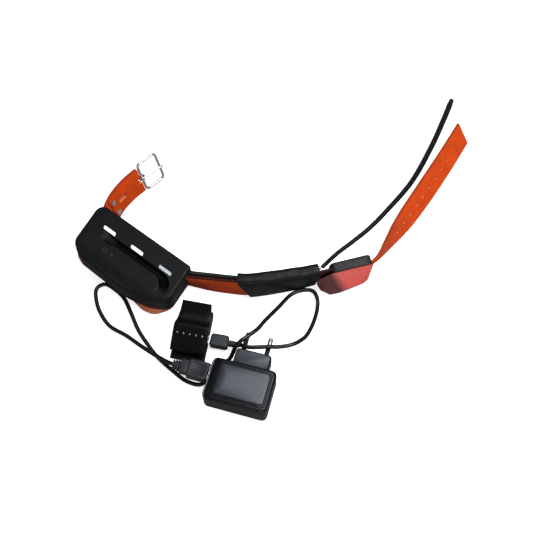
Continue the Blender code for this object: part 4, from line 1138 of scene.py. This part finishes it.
def build_clip():
    pin_y, pin_z = CLIP_PIN
    eased = softened(CLIP_PROFILE, 3)
    piece("clip_lower", side_profile(eased, CLIP_WIDTH), looks["clip"], "clip", ["clip_body"], CLIP,
          joins=[slab(rectangle(9, 6, 0.8, (0, pin_y)), 9, pin_z + 2.2)],
          cuts=[rod(1.5, 30, (0, pin_y, pin_z), (0, 90, 0)),
                block((16, 8.8, 4.0), (CLIP_WIDTH / 2, MICRO_Y, MICRO_Z))],
          bevel=0.4)
    contact_y, contact_z = CONTACT_PLACE
    cuts = [block((17, 8.3, 9), (0, 0.35, -1.0)), rod(1.5, 26, (0, 0, 0), (0, 90, 0)),
            block((25, 2.4, 6), (0, contact_y, contact_z - 2), 0.8), rod(0.7, 4, (-10.5, -12, 2.2))]
    cuts += [rod(0.8, 6, (CONTACT_PITCH * (i - 2), contact_y, contact_z + 2)) for i in range(5)]
    jaw = side_profile(softened(JAW_PROFILE, 3), CLIP_WIDTH)
    piece("clip_upper", jaw, looks["clip"], "clip_jaw", ["clip_jaw"], JAW, cuts=cuts, bevel=0.45)


def dress_frame():
    """Finishes for the CAD nodes that stay."""
    finishes = {
        "module_gasket": "rubber", "main_board": "board", "battery": "battery", "radio_shield": "steel",
        "status_led": "led", "module_screw_1": "steel", "module_screw_2": "steel",
        "module_screw_3": "steel", "module_screw_4": "steel", "puck_board": "board",
        "puck_patch_antenna": "ceramic", "puck_led": "window", "adapter_board": "board",
        "adapter_transformer": "core", "adapter_usb_socket": "steel", "usb_a_shell": "steel",
        "micro_usb_shell": "steel", "clip_contacts": "gold", "clip_hinge_pin": "steel",
        "clip_spring": "steel", "clip_socket": "steel",
    }
    for name, look in finishes.items():
        mesh = nodes[name].data
        mesh.materials.clear()
        mesh.materials.append(looks[look])


# ---------------------------------------------------------------- stage

def build_stage():
    g = Graph("floor_white")
    paper = g.remap(g.noise(30, 3), 0.3, 0.7, 0, 1)
    seen = g.add("ShaderNodeLightPath").outputs["Is Camera Ray"]
    white = g.mix(paper, (0.93, 0.93, 0.93), (0.96, 0.96, 0.96))
    g.set({"Base Color": g.mix(seen, (0.3, 0.3, 0.3), white), "Roughness": 0.9,
           "Specular IOR Level": 0.1, "Emission Color": (1, 1, 1, 1),
           "Emission Strength": g.maths("MULTIPLY", seen, 0.75)})
    floor = bmesh.new()
    bmesh.ops.create_grid(floor, x_segments=2, y_segments=2, size=3)
    mesh = bpy.data.meshes.new("floor")
    floor.to_mesh(mesh)
    floor.free()
    obj = bpy.data.objects.new("floor", mesh)
    obj.location.z = cad_low.z - 0.0003
    mesh.materials.append(g.material)
    bpy.context.scene.collection.objects.link(obj)


def area_light(name, place, target, size, power, colour=(1, 1, 1)):
    data = bpy.data.lights.new(name, "AREA")
    data.shape, data.size, data.energy, data.color = "DISK", size, power, colour
    obj = bpy.data.objects.new(name, data)
    obj.location = place
    obj.rotation_euler = (Vector(target) - Vector(place)).to_track_quat("-Z", "Y").to_euler()
    bpy.context.scene.collection.objects.link(obj)


def build_lights():
    middle = ((cad_low + cad_high) / 2).to_tuple()
    area_light("key", (0.55, -0.1, 0.9), middle, 0.5, 9.5)
    area_light("sheen", (0.2, 0.25, 1.1), (0.1, -0.1, 0.02), 0.36, 5, (0.9, 0.95, 1.0))
    area_light("fill", (0.12, -1.0, 0.3), middle, 0.5, 3.0)
    world = bpy.data.worlds.new("studio")
    world.use_nodes = True
    background = world.node_tree.nodes["Background"]
    background.inputs[0].default_value = (1, 1, 1, 1)
    background.inputs[1].default_value = 0.22
    bpy.context.scene.world = world
    bpy.context.scene.view_settings.view_transform = "Standard"


def build_camera():
    data = bpy.data.cameras.new("camera")
    data.lens, data.sensor_width = 50, 36
    obj = bpy.data.objects.new("camera", data)
    obj.location = (0.1158, -0.2995, 0.5686)
    obj.rotation_euler = (math.radians(28), 0, 0)
    bpy.context.scene.collection.objects.link(obj)
    bpy.context.scene.camera = obj


build_module()
build_straps()
build_buckle()
build_sleeve()
build_antenna()
build_puck()
build_adapter()
build_pins()
build_lead()
build_clip()
dress_frame()
build_stage()
build_lights()
build_camera()
